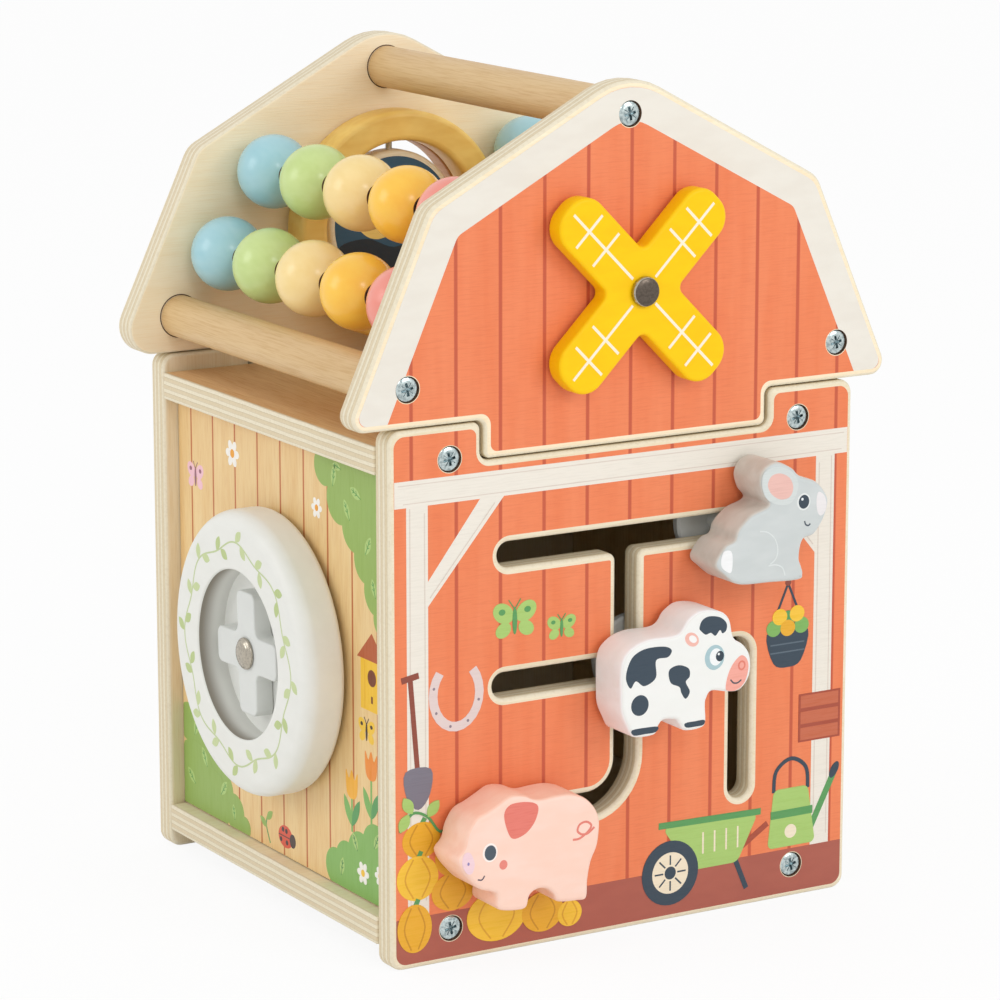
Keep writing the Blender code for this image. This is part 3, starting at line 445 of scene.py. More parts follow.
def sheet_mesh(name, loops, thickness, edge, centre, facing="front"):
    """A sheet cut to its loops with rounded edges, centred on a point of the toy."""
    curve = bpy.data.curves.new(name, "CURVE")
    curve.dimensions = "2D"
    curve.fill_mode = "BOTH"
    curve.extrude = (thickness / 2 - edge) * MM
    curve.bevel_depth = edge * MM
    curve.bevel_resolution = 3
    curve.offset = -edge * MM
    for loop in loops:
        spline = curve.splines.new("POLY")
        spline.points.add(len(loop) - 1)
        for point, (x, z) in zip(spline.points, loop):
            point.co = (x * MM, z * MM, 0, 1)
        spline.use_cyclic_u = True
    holder = link(name, curve)
    bpy.context.view_layer.update()
    graph = bpy.context.evaluated_depsgraph_get()
    mesh = bpy.data.meshes.new_from_object(holder.evaluated_get(graph))
    bpy.data.objects.remove(holder, do_unlink=True)
    mesh.name = name
    mesh.transform(Matrix.Translation(place(*centre)) @ FACING[facing])
    work = bmesh.new()
    work.from_mesh(mesh)
    bmesh.ops.remove_doubles(work, verts=work.verts, dist=1e-6)
    bmesh.ops.recalc_face_normals(work, faces=work.faces)
    work.to_mesh(mesh)
    work.free()
    mesh.materials.clear()
    return mesh


print("sheets can face", *FACING)


# %% Holes
def drill(piece, cutters, lining):
    """Cuts holes with short-lived cutters; their walls take the lining's material."""
    for number, mesh in enumerate(cutters):
        mesh.materials.append(lining)
        cut = piece.modifiers.new(f"hole {number}", "BOOLEAN")
        cut.operation = "DIFFERENCE"
        cut.solver = "EXACT"
        cut.material_mode = "TRANSFER"
        cut.object = link("cutter", mesh)
    bpy.context.view_layer.update()
    graph = bpy.context.evaluated_depsgraph_get()
    mesh = bpy.data.meshes.new_from_object(piece.evaluated_get(graph))
    tools = [modifier.object for modifier in piece.modifiers]
    piece.modifiers.clear()
    piece.data = mesh
    for tool in tools:
        bpy.data.objects.remove(tool, do_unlink=True)


print("a hole's wall takes its own material, as a cut shows bare wood")

# %% [markdown]
# ## Turned pieces
#
# Dowels, beads, screws, pegs and the wheel come from a lathe. The script does what the
# lathe does: a profile is spun round an axis, and doubled points on the axis are merged.

# %% Turned pieces
TURNING = {
    "front": Matrix.Rotation(math.pi / 2, 4, "X"),
    "rear": Matrix.Rotation(-math.pi / 2, 4, "X"),
    "left": Matrix.Rotation(-math.pi / 2, 4, "Y"),
    "up": Matrix.Identity(4),
}


def turned(name, profile, steps, centre, facing, closed=False):
    """Spins a profile of (radius, height) in mm round its own axis and puts it in place."""
    work = bmesh.new()
    chain = [work.verts.new((r * MM, 0, h * MM)) for r, h in profile]
    edges = [work.edges.new(pair) for pair in zip(chain, chain[1:])]
    if closed:
        edges.append(work.edges.new((chain[-1], chain[0])))
    bmesh.ops.spin(work, geom=chain + edges, cent=(0, 0, 0), axis=(0, 0, 1),
                   angle=2 * math.pi, steps=steps, use_merge=True)
    bmesh.ops.remove_doubles(work, verts=work.verts, dist=1e-7)
    bmesh.ops.recalc_face_normals(work, faces=work.faces)
    bmesh.ops.transform(work, verts=work.verts, matrix=Matrix.Translation(place(*centre)) @ TURNING[facing])
    return mesh_from(work, name)


def arc(centre_r, centre_h, radius, start, end, steps):
    angles = [math.radians(start + (end - start) * k / steps) for k in range(steps + 1)]
    return [(centre_r + radius * math.cos(a), centre_h + radius * math.sin(a)) for a in angles]


print("lathe axes:", *TURNING)

# %% [markdown]
# ## Ink layers
#
# A print is ink laid over ink. An image would blur close up, so each motif is a short stack
# of shapes, each a hair higher than the one under it. Every shape starts as one face and is
# extruded down into the wood, so that it is a closed slab. Its colour is stored on its
# faces, so one material serves all the motifs.

# %% Laying ink
INK_STEP = 0.008            # mm between one layer of a motif and the next
INK_BASE = 0.05
INK_ROOT = 0.04             # mm that each slab reaches into the surface under it
SURFACES = {
    "front": lambda plane: lambda u, v, h: place(u, plane - h, v),
    "rear": lambda plane: lambda u, v, h: place(-u, plane + h, v),
    "left": lambda plane: lambda u, v, h: place(plane - h, u, v),
}


def lay_ink(name, motifs, plane, body, material, side="front", base=INK_BASE):
    """One piece from motifs: lists of (outline, colour), each shape a layer above the one before.

    A shape with a third value lies on the layer of that number."""
    to_scene = SURFACES[side](plane)
    work = bmesh.new()
    ink = work.loops.layers.float_color.new("ink")
    for motif in motifs:
        for order, (outline, colour, *level) in enumerate(motif):
            top = base + (level[0] if level else order) * INK_STEP
            face = work.faces.new([work.verts.new(to_scene(u, v, top)) for u, v in outline])
            shell = bmesh.ops.extrude_face_region(work, geom=[face], use_keep_orig=True)
            sunk = [part for part in shell["geom"] if isinstance(part, bmesh.types.BMVert)]
            down = to_scene(0, 0, -INK_ROOT) - to_scene(0, 0, top)
            bmesh.ops.translate(work, verts=sunk, vec=down)
            for part in {f for v in sunk for f in v.link_faces} | {face}:
                for corner in part.loops:
                    corner[ink] = linear(colour)
    bmesh.ops.recalc_face_normals(work, faces=work.faces)
    finish_piece(name, mesh_from(work, name), body, [material], smooth_angle=20)
    print(name, "has", sum(len(m) for m in motifs), "shapes in", len(motifs), "motifs")


print("a stack of ten inks is", 10 * INK_STEP, "mm thick")

# %% [markdown]
# ## The box
#
# The front and rear panels are sheets of 10 mm birch ply with a notch in the top edge for
# the roof plate's tab. The maze is one joined slot, sawn right through the front panel, so
# it is a second loop of the same curve and not a row of cuts. The print stops short of
# every rim, so bare veneer shows round the slots and edges.

# %% Panel outline
HALF_PANEL, PANEL_TOP, PANEL_CORNER = 95.5, 190.0, 5
NOTCH_HALF, NOTCH_FOOT = 59.3, 176.5


def panel_outline(inset=0.0):
    """The panel's outline, or its print's, which lies inset inside it."""
    edge, top, corner = HALF_PANEL - inset, PANEL_TOP - inset, PANEL_CORNER - inset / 2
    half, foot = NOTCH_HALF + inset, NOTCH_FOOT - inset
    return rounded([
        (-edge, inset, corner), (edge, inset, corner), (edge, top, corner), (half, top, 2.6),
        (half, foot, 3.5 + inset), (-half, foot, 3.5 + inset), (-half, top, 2.6), (-edge, top, corner),
    ])


print("a panel is", 2 * HALF_PANEL, "by", PANEL_TOP, "mm")

# %% Maze outline
SLOT_HALF = 4.55
TOP_SLOT, MIDDLE_SLOT, LOWER_SLOT = 142.5, 96.3, 48.0       # heights of the level slots
RIGHT_SLOT, RIGHT_SLOT_END = 48.6, 45.5                     # the upright slot on the right


def maze_outline(grow=0.0):
    """All the slots as one loop round their centre lines, wider by grow on every side."""
    h = SLOT_HALF + grow
    turn = max(3 - grow, 0.6)
    return rounded([
        (-48 - h, TOP_SLOT + h, h), (50 + h, TOP_SLOT + h, h), (50 + h, TOP_SLOT - h, h),
        (h, TOP_SLOT - h, turn), (h, MIDDLE_SLOT + h, turn), (RIGHT_SLOT + h, MIDDLE_SLOT + h, 6 + grow),
        (RIGHT_SLOT + h, RIGHT_SLOT_END - h, h), (RIGHT_SLOT - h, RIGHT_SLOT_END - h, h),
        (RIGHT_SLOT - h, MIDDLE_SLOT - h, turn), (h, MIDDLE_SLOT - h, turn), (h, LOWER_SLOT - h, 16 + h),
        (-52 - h, LOWER_SLOT - h, h), (-52 - h, LOWER_SLOT + h, h), (-h, LOWER_SLOT + h, 16 - h),
        (-h, MIDDLE_SLOT - h, turn), (-50 - h, MIDDLE_SLOT - h, h), (-50 - h, MIDDLE_SLOT + h, h),
        (-h, MIDDLE_SLOT + h, turn), (-h, TOP_SLOT - h, turn), (-48 - h, TOP_SLOT - h, h),
    ])


print("the slots are", 2 * SLOT_HALF, "mm wide")

# %% Screw holes
SCREW_HOLE = 4.62                       # the countersink's radius
PRINT_HOLE = 2 * SCREW_HOLE + 0.5       # the print keeps this circle free
SCREW_PLACES = [(-71.7, 178.5), (71.7, 178.5), (-71.7, 12.3), (71.7, 12.3)]


def screw_holes(places, y, facing):
    """Countersinks for screws whose heads sit just under the face."""
    profile = [(0, -30), (2.2, -28), (2.2, -3.4), (SCREW_HOLE - 0.25, -0.9), (SCREW_HOLE, 0),
               (SCREW_HOLE, 2), (0, 2)]
    return [turned("countersink", profile, 32, (x, y, z), facing) for x, z in places]


def print_holes(places):
    return [oval(x, z, PRINT_HOLE, PRINT_HOLE) for x, z in places]


print("a countersink is", 2 * SCREW_HOLE, "mm wide")

# %% Panels and the plank print
EDGE = 1.8                  # rounding of the plates' edges


def ply_plate(node, loops, middle_y, materials, edge=EDGE):
    """A plate in place of its solid: veneer on its faces, stripes round its edges."""
    mesh = sheet_mesh(node + "_ply", loops, PLY, edge, (0, middle_y, 0))
    plate = finish_piece(node + "_ply", mesh, "barn", materials, [node])
    give_faces(mesh, 1, lambda face: abs(face.normal.y) <= FLAT)
    return plate


def print_sheet(name, loops, thickness, material):
    """A printed skin of the front, a few hundredths of a millimetre proud of the wood."""
    return finish_piece(name, sheet_mesh(name, loops, thickness, 0.0, (0, 0, 0)), "barn", [material])


front = ply_plate("front_panel", [panel_outline(), maze_outline()], PLY / 2,
                  [birch_across, front_edge])
# the countersinks' walls take the painted shadow, dark as the gap round a screw's head
drill(front, screw_holes(SCREW_PLACES, 0, "front"), painted_bore_shadow)
print_sheet("front_print", [panel_outline(2.0), maze_outline(2.3), *print_holes(SCREW_PLACES)], 0.08, coral_planks)
rear = ply_plate("rear_panel", [panel_outline()], TOY_DEPTH - PLY / 2, [birch_upright, rear_edge])
drill(rear, screw_holes(SCREW_PLACES, TOY_DEPTH, "rear"), painted_bore_shadow)
print("front panel:", len(front.data.polygons), "faces")

# %% [markdown]
# ## Boards and sides
#
# Two ply boards hold the panels apart, and thin side walls stand between them. These are
# true boxes, so each is a cube stretched to size, and a small bevel eases its edges as
# sandpaper does. A sharp edge would catch no light.

# %% Boards and sides
INSIDE = (10.3, 169.7)                  # between the panels, with 0.3 mm of air at each end
SIDE_FACE, SIDE_BACK = 89.6, 83.6       # the side walls' faces, counted from the middle
SIDE_WALL = (17.6, 173.2)


def board(name, node, across, heights, materials, axis, easing):
    """A plain board with eased edges; its faces along the axis get the first material."""
    low, high = zip(across, INSIDE, heights)
    size = [(b - a) * MM for a, b in zip(low, high)]
    middle = place(*((a + b) / 2 for a, b in zip(low, high)))
    work = bmesh.new()
    bmesh.ops.create_cube(work, size=1.0, matrix=Matrix.Translation(middle) @ Matrix.Diagonal((*size, 1.0)))
    bmesh.ops.bevel(work, geom=work.edges, offset=easing * MM, segments=3, profile=0.5,
                    affect="EDGES", material=-1)
    mesh = mesh_from(work, name)
    finish_piece(name, mesh, "barn", materials, [node])
    give_faces(mesh, 1, lambda face: abs(face.normal["XYZ".index(axis)]) <= FLAT)


for level, foot, materials in (("top", TOP_BOARD, [loft_stain, top_edge]),
                               ("bottom", BOTTOM_BOARD, [birch_across, bottom_edge])):
    board(f"{level}_board_ply", f"{level}_board", (-HALF_PANEL, HALF_PANEL), (foot, foot + PLY),
          materials, "Z", 0.8)
board("left_side_sheet", "left_side_panel", (-SIDE_FACE, -SIDE_BACK), SIDE_WALL,
      [straw_planks, inner_wood], "X", 0.3)
board("right_side_sheet", "right_side_panel", (SIDE_BACK, SIDE_FACE), SIDE_WALL,
      [inner_wood, inner_wood], "X", 0.3)
print("the box is closed, its side walls", round(SIDE_FACE - SIDE_BACK, 1), "mm thick")

# %% [markdown]
# ## The roof
#
# Two barn-shaped plates stand in the panels' notches. The front one is printed with the
# same planks, inside a white band that follows the roof's slopes. The band needs outlines
# that keep an even distance to the slopes, so the plate's outline is a small class that
# can give itself moved inward.

# %% Gable outline
TAB_HALF, TAB_FOOT = 57.9, 177.0
GABLE_FOOT = 190.5


class Gable:
    """The barn-roof outline: half widths of eave and knee, heights of knee and ridge."""

    def __init__(self, eave, knee, knee_z, ridge_z, eave_round):
        self.steep = (knee_z - GABLE_FOOT) / (eave - knee)
        self.shallow = (ridge_z - knee_z) / knee
        self.steep_top = GABLE_FOOT + self.steep * eave
        self.ridge_z, self.eave_round = ridge_z, eave_round

    def slopes(self, inset, foot):
        """Eave, knee and ridge of the slopes moved inward, each as (x, z)."""
        steep_top = self.steep_top - inset * math.hypot(1, self.steep)
        ridge = self.ridge_z - inset * math.hypot(1, self.shallow)
        knee = (steep_top - ridge) / (self.steep - self.shallow)
        return ((steep_top - foot) / self.steep, foot), (knee, ridge - self.shallow * knee), (0, ridge)

    def outline(self, inset=0.0):
        foot, tab, tab_foot = GABLE_FOOT + inset, TAB_HALF - inset, TAB_FOOT + inset
        (eave, _), (knee, knee_z), (_, ridge) = self.slopes(inset, foot)
        corner, tab_corner, bend = max(self.eave_round - inset, 1.0), 3.0 + inset / 2, 10 - inset / 2
        return rounded([
            (-tab, tab_foot, 2.6), (tab, tab_foot, 2.6), (tab, foot, tab_corner), (eave, foot, corner),
            (knee, knee_z, bend), (0, ridge, 27 - inset), (-knee, knee_z, bend),
            (-eave, foot, corner), (-tab, foot, tab_corner),
        ])


FRONT_GABLE = Gable(eave=111.9, knee=79.1, knee_z=264.4, ridge_z=306.4, eave_round=5.2)
REAR_GABLE = Gable(eave=114.3, knee=79.4, knee_z=265.3, ridge_z=307.6, eave_round=10.0)
print("the roof slopes rise by", round(FRONT_GABLE.steep, 2), "and", round(FRONT_GABLE.shallow, 2))

# %% Gable plates
DOWELS = {"left_eave": (-88, 204), "right_eave": (88, 204), "ridge": (0, 291.3)}
GABLE_SCREWS = list(DOWELS.values())    # one screw holds each end of a dowel
FLIP_Z, FLIP_HOLE = 232.5, 64
RIM_EDGE = 1.2
PRINT_INSET = 2.4

front_gable = ply_plate("front_gable", [FRONT_GABLE.outline()], PLY / 2, [birch_inner, front_edge])
# the countersinks' walls take the painted shadow, dark as the gap round a screw's head
drill(front_gable, screw_holes(GABLE_SCREWS, 0, "front"), painted_bore_shadow)
rear_gable = ply_plate("rear_gable", [REAR_GABLE.outline(), oval(0, FLIP_Z, FLIP_HOLE, FLIP_HOLE, 0, 72)],
                       TOY_DEPTH - PLY / 2, [birch_inner, rear_edge, rim_in_painted_shade], RIM_EDGE)
hole_middle = place(0, TOY_DEPTH - PLY / 2, FLIP_Z)
# the hole's rim takes the third material: cut end grain with painted shade
give_faces(rear_gable.data, 2, lambda face: face.material_index == 1
           and (face.center - hole_middle).length < (FLIP_HOLE / 2 + RIM_EDGE) * MM)
drill(rear_gable, screw_holes(GABLE_SCREWS, TOY_DEPTH, "rear"), painted_bore_shadow)
print_sheet("gable_print", [FRONT_GABLE.outline(PRINT_INSET), *print_holes(GABLE_SCREWS)], 0.08, coral_planks)
print("the roof is", FRONT_GABLE.ridge_z, "mm high in front")

# %% White roof band
# white screen ink, laid on thick: it hides the coral ink but lets a little grain through
band_ink = lacquer("white_screen_ink", "#EAE5DA", "#E2DBCF", 0.46, "X", depth_mm=0.02)
BAND_INNER = 13.8


def roof_band(outer, inner, foot):
    """The band between two insets of the slopes, from one eave over the ridge to the other."""
    (out_eave, out_knee, out_ridge), (in_eave, in_knee, in_ridge) = (
        FRONT_GABLE.slopes(inset, foot) for inset in (outer, inner))
    left = [(-in_eave[0], foot, 0.4), (-in_knee[0], in_knee[1], 5), (*in_ridge, 15)]
    right = [(*in_knee, 5), (*in_eave, 0.4), (*out_eave, 3), (*out_knee, 9), (*out_ridge, 25)]
    return rounded(left + right + [(-out_knee[0], out_knee[1], 9), (-out_eave[0], foot, 3)])


band = print_sheet("roof_band", [roof_band(PRINT_INSET, BAND_INNER, GABLE_FOOT + PRINT_INSET)], 0.11, band_ink)
drill(band, screw_holes(GABLE_SCREWS, 0.3, "front"), band_ink)
print("the white band is", round(BAND_INNER - PRINT_INSET, 1), "mm wide")

# %% [markdown]
# ## Dowels
#
# Three turned beech dowels tie the roof plates together and give a small hand a grip. Each
# end sits in a shallow bore, and the shadow in its gap is drawn as a fine dark ring,
# because a gap of a tenth of a millimetre is narrower than a pixel.

# %% Dowels
DOWEL_RADIUS = 7.8
# solid beech, turned: warmer than birch, with short dark fibres along the dowel
beech = wood("turned_beech", "#DCBB88", "#C79F69", "Y", 0.45)


def dowel(name, x, z):
    length, ease = INSIDE[1] - INSIDE[0], 0.3
    profile = [(0, 0), (DOWEL_RADIUS - ease, 0), (DOWEL_RADIUS, ease), (DOWEL_RADIUS, length - ease),
               (DOWEL_RADIUS - ease, length), (0, length)]
    finish_piece(name + "_wood", turned(name + "_wood", profile, 48, (x, INSIDE[0], z), "rear"),
                 "barn", [beech], [name])


def painted_socket_shadow(name, x, z):
    """The painted shadow in the gap round a dowel's end, drawn as a fine dark ring around it."""
    outer, high = DOWEL_RADIUS + 0.38, 0.06
    rim = [(DOWEL_RADIUS, 0), (outer, 0), (outer, high), (DOWEL_RADIUS, high)]
    for end, y, facing in (("front", PLY, "rear"), ("rear", TOY_DEPTH - PLY, "front")):
        mesh = turned(f"{name}_{end}", rim, 48, (x, y, z), facing, True)
        finish_piece(f"{name}_{end}", mesh, "barn", [painted_bore_shadow])


for spot, (x, z) in DOWELS.items():
    painted_socket_shadow(spot.replace("_eave", "") + "_socket", x, z)
    dowel(spot + "_dowel", x, z)
print(len(DOWELS), "dowels are in")

# %% [markdown]
# ## Screws
#
# Each screw is turned with a shallow dome, and a tapered cross is cut into it, for a
# painted cross would not catch the light. One mesh is made for each end of the toy and
# copied to the other places.

# %% Countersunk screws
# zinc plating: cold and bright, cloudy where the screws rubbed in the drum
zinc = plated_steel("zinc_plated_steel", "#C8D4D3", "#5E6F73", 0.24, 1.0, 0.6)
# the same plating in the recess, darkened as painted shade in the hollow
zinc_painted_shade = plated_steel("zinc_in_the_recess_painted_shade", "#9DB0B4", "#3A484D", 0.3, 0.8, 0.8)
SCREW_RADIUS = 4.3
WEDGES = ((12, 4.7, 1.0, 2.4), (57, 5.4, 0.3, 1.0))     # turn, length, width and depth of each pair


def cross_cutters(y, facing):
    """Two crossed wedges and two thin score marks, as a driver's recess has."""
    cutters = []
    for first_turn, *size in WEDGES:
        for turn in (first_turn, first_turn + 90):
            work = bmesh.new()
            shape = Matrix.Rotation(math.radians(turn), 4, "Z") @ Matrix.Diagonal((*(s * MM for s in size), 1))
            bmesh.ops.create_cube(work, size=1.0, matrix=TURNING[facing] @ shape)
            bmesh.ops.translate(work, verts=work.verts, vec=place(0, y, 0))
            cutters.append(mesh_from(work, "recess"))
    return cutters


def screw_mesh(y, facing):
    """A screw at x 0 and z 0, its head's rim a little under the face."""
    profile = [(0, -28), (1.8, -25), (2.0, -3.4), (SCREW_RADIUS - 0.1, -0.85), (SCREW_RADIUS, -0.6),
               (SCREW_RADIUS - 0.25, -0.4), (2.6, -0.18), (0, -0.1)]
    mesh = turned("screw", profile, 40, (0, y, 0), facing)
    mesh.materials.append(zinc)
    holder = link("screw", mesh)
    # the recess's walls take the zinc darkened as painted shade
    drill(holder, cross_cutters(y, facing), zinc_painted_shade)
    mesh = holder.data
    bpy.data.objects.remove(holder, do_unlink=True)
    return mesh


print("a recess is cut by", 2 * len(WEDGES), "wedges")


# %% Fitting the screws
def fit_screws(end, y):
    master = screw_mesh(y, end)
    places = {f"{end}_panel_screw_{'upper' if z > TOP_SLOT else 'lower'}_{'left' if x < 0 else 'right'}": (x, z)
              for x, z in SCREW_PLACES}
    places.update({f"{end}_gable_screw_{spot}": place_xz for spot, place_xz in DOWELS.items()})
    for name, (x, z) in places.items():
        mesh = master.copy()
        mesh.transform(Matrix.Translation((x * MM, 0, z * MM)))
        finish_piece(name + "_head", mesh, "barn", [], [name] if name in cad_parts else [])
    print(len(places), "screws in the", end)


fit_screws("front", 0)
fit_screws("rear", TOY_DEPTH)

# %% [markdown]
# ## Bead rods
#
# A bead is a wooden ball with a flared bore, dipped in paint and tumbled smooth. A sphere
# with a Boolean hole would leave a ragged rim, so ball and bore are one profile, turned in
# one spin. Five beads hang on each steel rod.

# %% Beads
BEAD_RADIUS, BORE, MOUTH = 13.71, 3.7, 5.0
BEAD_PAINTS = {
    "blue": ("#A8D2DA", "#9ACAD4"), "green": ("#CBDF95", "#BFD583"), "cream": ("#FADF9E", "#F5D68C"),
    "orange": ("#FFCC4E", "#FEC03E"), "pink": ("#F49A8C", "#EE8B7C"),
}
# dipped lacquer: glossier than the sprayed pieces, clouded where it ran
bead_paints = {name: lacquer(name + "_bead_lacquer", main, drift, 0.24, "Y", 0.6, 0.003, 0.5)
               for name, (main, drift) in BEAD_PAINTS.items()}
# bare wood in the bore, painted dark brown for the shade inside it
bore_painted_shade = wood("bore_wood_painted_shade", "#6E4A30", "#4E3220", "Y", 0.7)


def bead_profile():
    pole = math.degrees(math.acos(MOUTH / BEAD_RADIUS))
    outside = arc(0, 0, BEAD_RADIUS, -pole, pole, 28)
    end = outside[-1][1]
    return outside + [(MOUTH - 0.35, end), (BORE, end - 1.2), (BORE, 1.2 - end), (MOUTH - 0.35, -end)]


print("a bead is", round(2 * bead_profile()[28][1], 1), "mm long on its rod")

# %% Rods with their beads
RODS = {"upper_left": (-55, 257), "lower_left": (-74.5, 228), "upper_right": (55, 257), "lower_right": (74.5, 228)}
ROD_RADIUS, ROD_START, ROD_LENGTH = 3, 4.5, 171
BEAD_PITCH, REAR_BEAD = 33.0, 156.45

for rod, (x, z) in RODS.items():
    profile = [(0, 0), (ROD_RADIUS, 0), (ROD_RADIUS, ROD_LENGTH), (0, ROD_LENGTH)]
    mesh = turned(rod + "_steel", profile, 32, (x, ROD_START, z), "rear")
    finish_piece(rod + "_steel", mesh, "barn", [steel_rod], [rod + "_rod"])
    for order, colour in enumerate(BEAD_PAINTS):
        node, at = f"{rod}_bead_{colour}", (x, REAR_BEAD - order * BEAD_PITCH, z)
        mesh = turned(node + "_ball", bead_profile(), 56, at, "rear", True)
        finish_piece(node + "_ball", mesh, node, [bead_paints[colour], bore_painted_shade], [node])
        middle = place(*at)
        # the faces round the mouth take the bore's wood with painted shade
        give_faces(mesh, 1, lambda face: math.hypot(*(face.center - middle).xz) < (MOUTH - 0.1) * MM)
print(len(RODS) * len(BEAD_PAINTS), "beads on", len(RODS), "rods")

# %% [markdown]
# ## Windmill
#
# The yellow cross is sawn from 8 mm board and turns on a domed rivet. Four corners, turned
# round the middle four times, give its outline, so all arms are alike. Its white lattice
# is printed on the arms.

# %% Windmill cross
# sprayed lacquer, flat enough to keep the full yellow
windmill_yellow = lacquer("yellow_lacquer", "#FDCC00", "#F8BE00", 0.4, "X", depth_mm=0.004, specular=0.2)
WINDMILL_Z, WINDMILL_FACE, WINDMILL_THICK = 231.3, -9.5, 8
ARM_REACH, ARM_HALF, ARM_ROUND = 42.9, 10, 8.6


def cross_outline(reach, half, tip, notch, start):
    """Four arms of equal width; tip and notch are the roundings, start the first arm's angle."""
    corners = []
    for quarter in range(4):
        turn = Matrix.Rotation(math.radians(start + 90 * quarter), 2)
        for point, radius in (((reach, -half), tip), ((reach, half), tip), ((half, half), notch)):
            corners.append((*(turn @ Vector(point)), radius))
    return rounded(corners[::-1])


wings = sheet_mesh("windmill_wings", [cross_outline(ARM_REACH, ARM_HALF, ARM_ROUND, 3, 45)], WINDMILL_THICK, 1.3,
                   (0, WINDMILL_FACE + WINDMILL_THICK / 2, WINDMILL_Z))
finish_piece("windmill_wings", wings, "windmill", [windmill_yellow], ["windmill"])
print("windmill:", len(wings.polygons), "faces in the cross")


# %% Windmill lattice
def lattice():
    """A spar along each arm and two bars across it."""
    shapes = []
    for arm in range(4):
        turn = Matrix.Rotation(math.radians(45 + 90 * arm), 2)
        for line in (((6.5, 0), (40.2, 0)), ((22, -7.4), (22, 7.4)), ((31.5, -7.4), (31.5, 7.4))):
            ends = [turn @ Vector(p) + Vector((0, WINDMILL_Z)) for p in line]
            shapes.append((stroke(ends, 1.0), "#FFEFD6"))
    return [shapes]


lay_ink("windmill_lattice", lattice(), WINDMILL_FACE, "windmill", ink_across, base=0.04)

# %% Rivets
# nickel darkened as a painted reflection of the dark surroundings that the rivet's flat face mirrors
nickel_dark_reflection = plated_steel("nickel_painted_dark_reflection", "#675D54", "#332D28", 0.3, 0.7)


def rivet(name, radius, height, dome, lip, face_metal, centre, facing):
    """A rivet's head on its shank: a rim rounded by lip, then a dome of the given height."""
    rim, flat = height - dome, radius - lip
    profile = [(0, -20), (2.4, -20), (2.4, 0), (radius, 0)] + arc(flat, rim - lip, lip, 0, 80, 6)
    profile += [(flat * math.cos(a), rim + dome * math.sin(a)) for a in map(math.radians, range(10, 90, 10))]
    mesh = turned(name + "_head", profile + [(0, height)], 48, centre, facing)
    outward = TURNING[facing].to_3x3() @ Vector((0, 0, 1))
    finish_piece(name + "_head", mesh, "barn", [nickel, face_metal], [name], 50)
    give_faces(mesh, 1, lambda face: face.normal.dot(outward) > 0.8)
    print(name, "is", 2 * radius, "mm wide")


# the rivet's flat face takes the nickel with the painted dark reflection
rivet("windmill_rivet", 5.3, 2.4, 0.4, 1.2, nickel_dark_reflection, (0, WINDMILL_FACE - 0.3, WINDMILL_Z), "front")

# %% [markdown]
# ## Flip disc
#
# A yellow ring frames the hole in the rear plate. The disc inside it turns about an upright
# pin. Ring and disc are sawn flat, so they are sheets again, and only the pin is turned.

# %% Ring, disc and pin
# ochre lacquer over beech, thin enough that the grain shows as streaks
ring_yellow = lacquer("ochre_lacquer_on_beech", "#FBD67A", "#EDBD5C", 0.4, "X", 0.7, 0.05)
RING_WIDTH, RING_THICK, RING_Y = 87, 12.7, 163.35
DISC_RADIUS, DISC_THICK, DISC_Y = 27.8, 8, 168.5
PIN_RADIUS, PIN_HALF = 1.3, 38

ring = sheet_mesh("flip_ring_wood", [oval(0, 0, width, width, 0, 96) for width in (RING_WIDTH, FLIP_HOLE)],
                  RING_THICK, 2.2, (0, RING_Y, FLIP_Z))
finish_piece("flip_ring_wood", ring, "barn", [ring_yellow], ["flip_ring"])
disc = sheet_mesh("flip_disc_wood", [oval(0, 0, 2 * DISC_RADIUS, 2 * DISC_RADIUS, 0, 96)], DISC_THICK, 1.5,
                  (0, DISC_Y, FLIP_Z))
finish_piece("flip_disc_wood", disc, "flip_disc", [birch_across], ["flip_disc"])
pin = turned("flip_pin_steel", [(0, -PIN_HALF), (PIN_RADIUS, -PIN_HALF), (PIN_RADIUS, PIN_HALF), (0, PIN_HALF)],
             24, (0, DISC_Y, FLIP_Z), "up")
finish_piece("flip_pin_steel", pin, "barn", [steel_rod], ["flip_pin"])
print("the disc has", round(FLIP_HOLE / 2 - DISC_RADIUS, 1), "mm of air round it")


# %% Night sky on both faces of the disc
def star(x, z, radius, points=5):
    return [Vector((x, z)) + Matrix.Rotation(math.pi * k / points, 2) @ Vector((0, radius * (0.45 if k % 2 else 1)))
            for k in range(2 * points)]


SKY_BLUE, MOON_YELLOW, STAR_YELLOW, HILL_BLACK = "#365A73", "#F2D27A", "#F5E3AC", "#24303A"
HILLS = [(-24, -8), (-12, -5), (0, -9), (12, -6), (23.5, -9), (17, -18.5), (0, -24.8), (-17, -18.5)]
STARS = ((9, 14, 2.6), (15, 4, 1.9), (-14, 17, 1.7), (2, 20, 1.5))
sky = oval(0, FLIP_Z, 51, 51, 0, 72)
on_sky = [
    [(oval(-7, FLIP_Z + 4, 19, 19), MOON_YELLOW), (oval(-3, FLIP_Z + 6, 16, 16), SKY_BLUE)],
    [(smooth([(x, FLIP_Z + z) for x, z in HILLS]), HILL_BLACK)],
    *([(star(x, FLIP_Z + z, radius), STAR_YELLOW)] for x, z, radius in STARS),
]
for side, plane in (("front", DISC_Y - DISC_THICK / 2), ("rear", DISC_Y + DISC_THICK / 2)):
    for what, motifs, base in (("sky", [[(sky, SKY_BLUE)]], 0.03), ("moon", on_sky, 0.05)):
        lay_ink(f"disc_{what}_{side}", motifs, plane, "flip_disc", ink_across, side, base)

# %% [markdown]
# ## Side wheel
#
# The wheel is turned from one thick white board, with a well-rounded rim and a round window
# sunk into its face. One closed profile gives all of that in one spin, where stacked discs
# would show seams. A flat cross lies in the window, and a garland is printed around it.

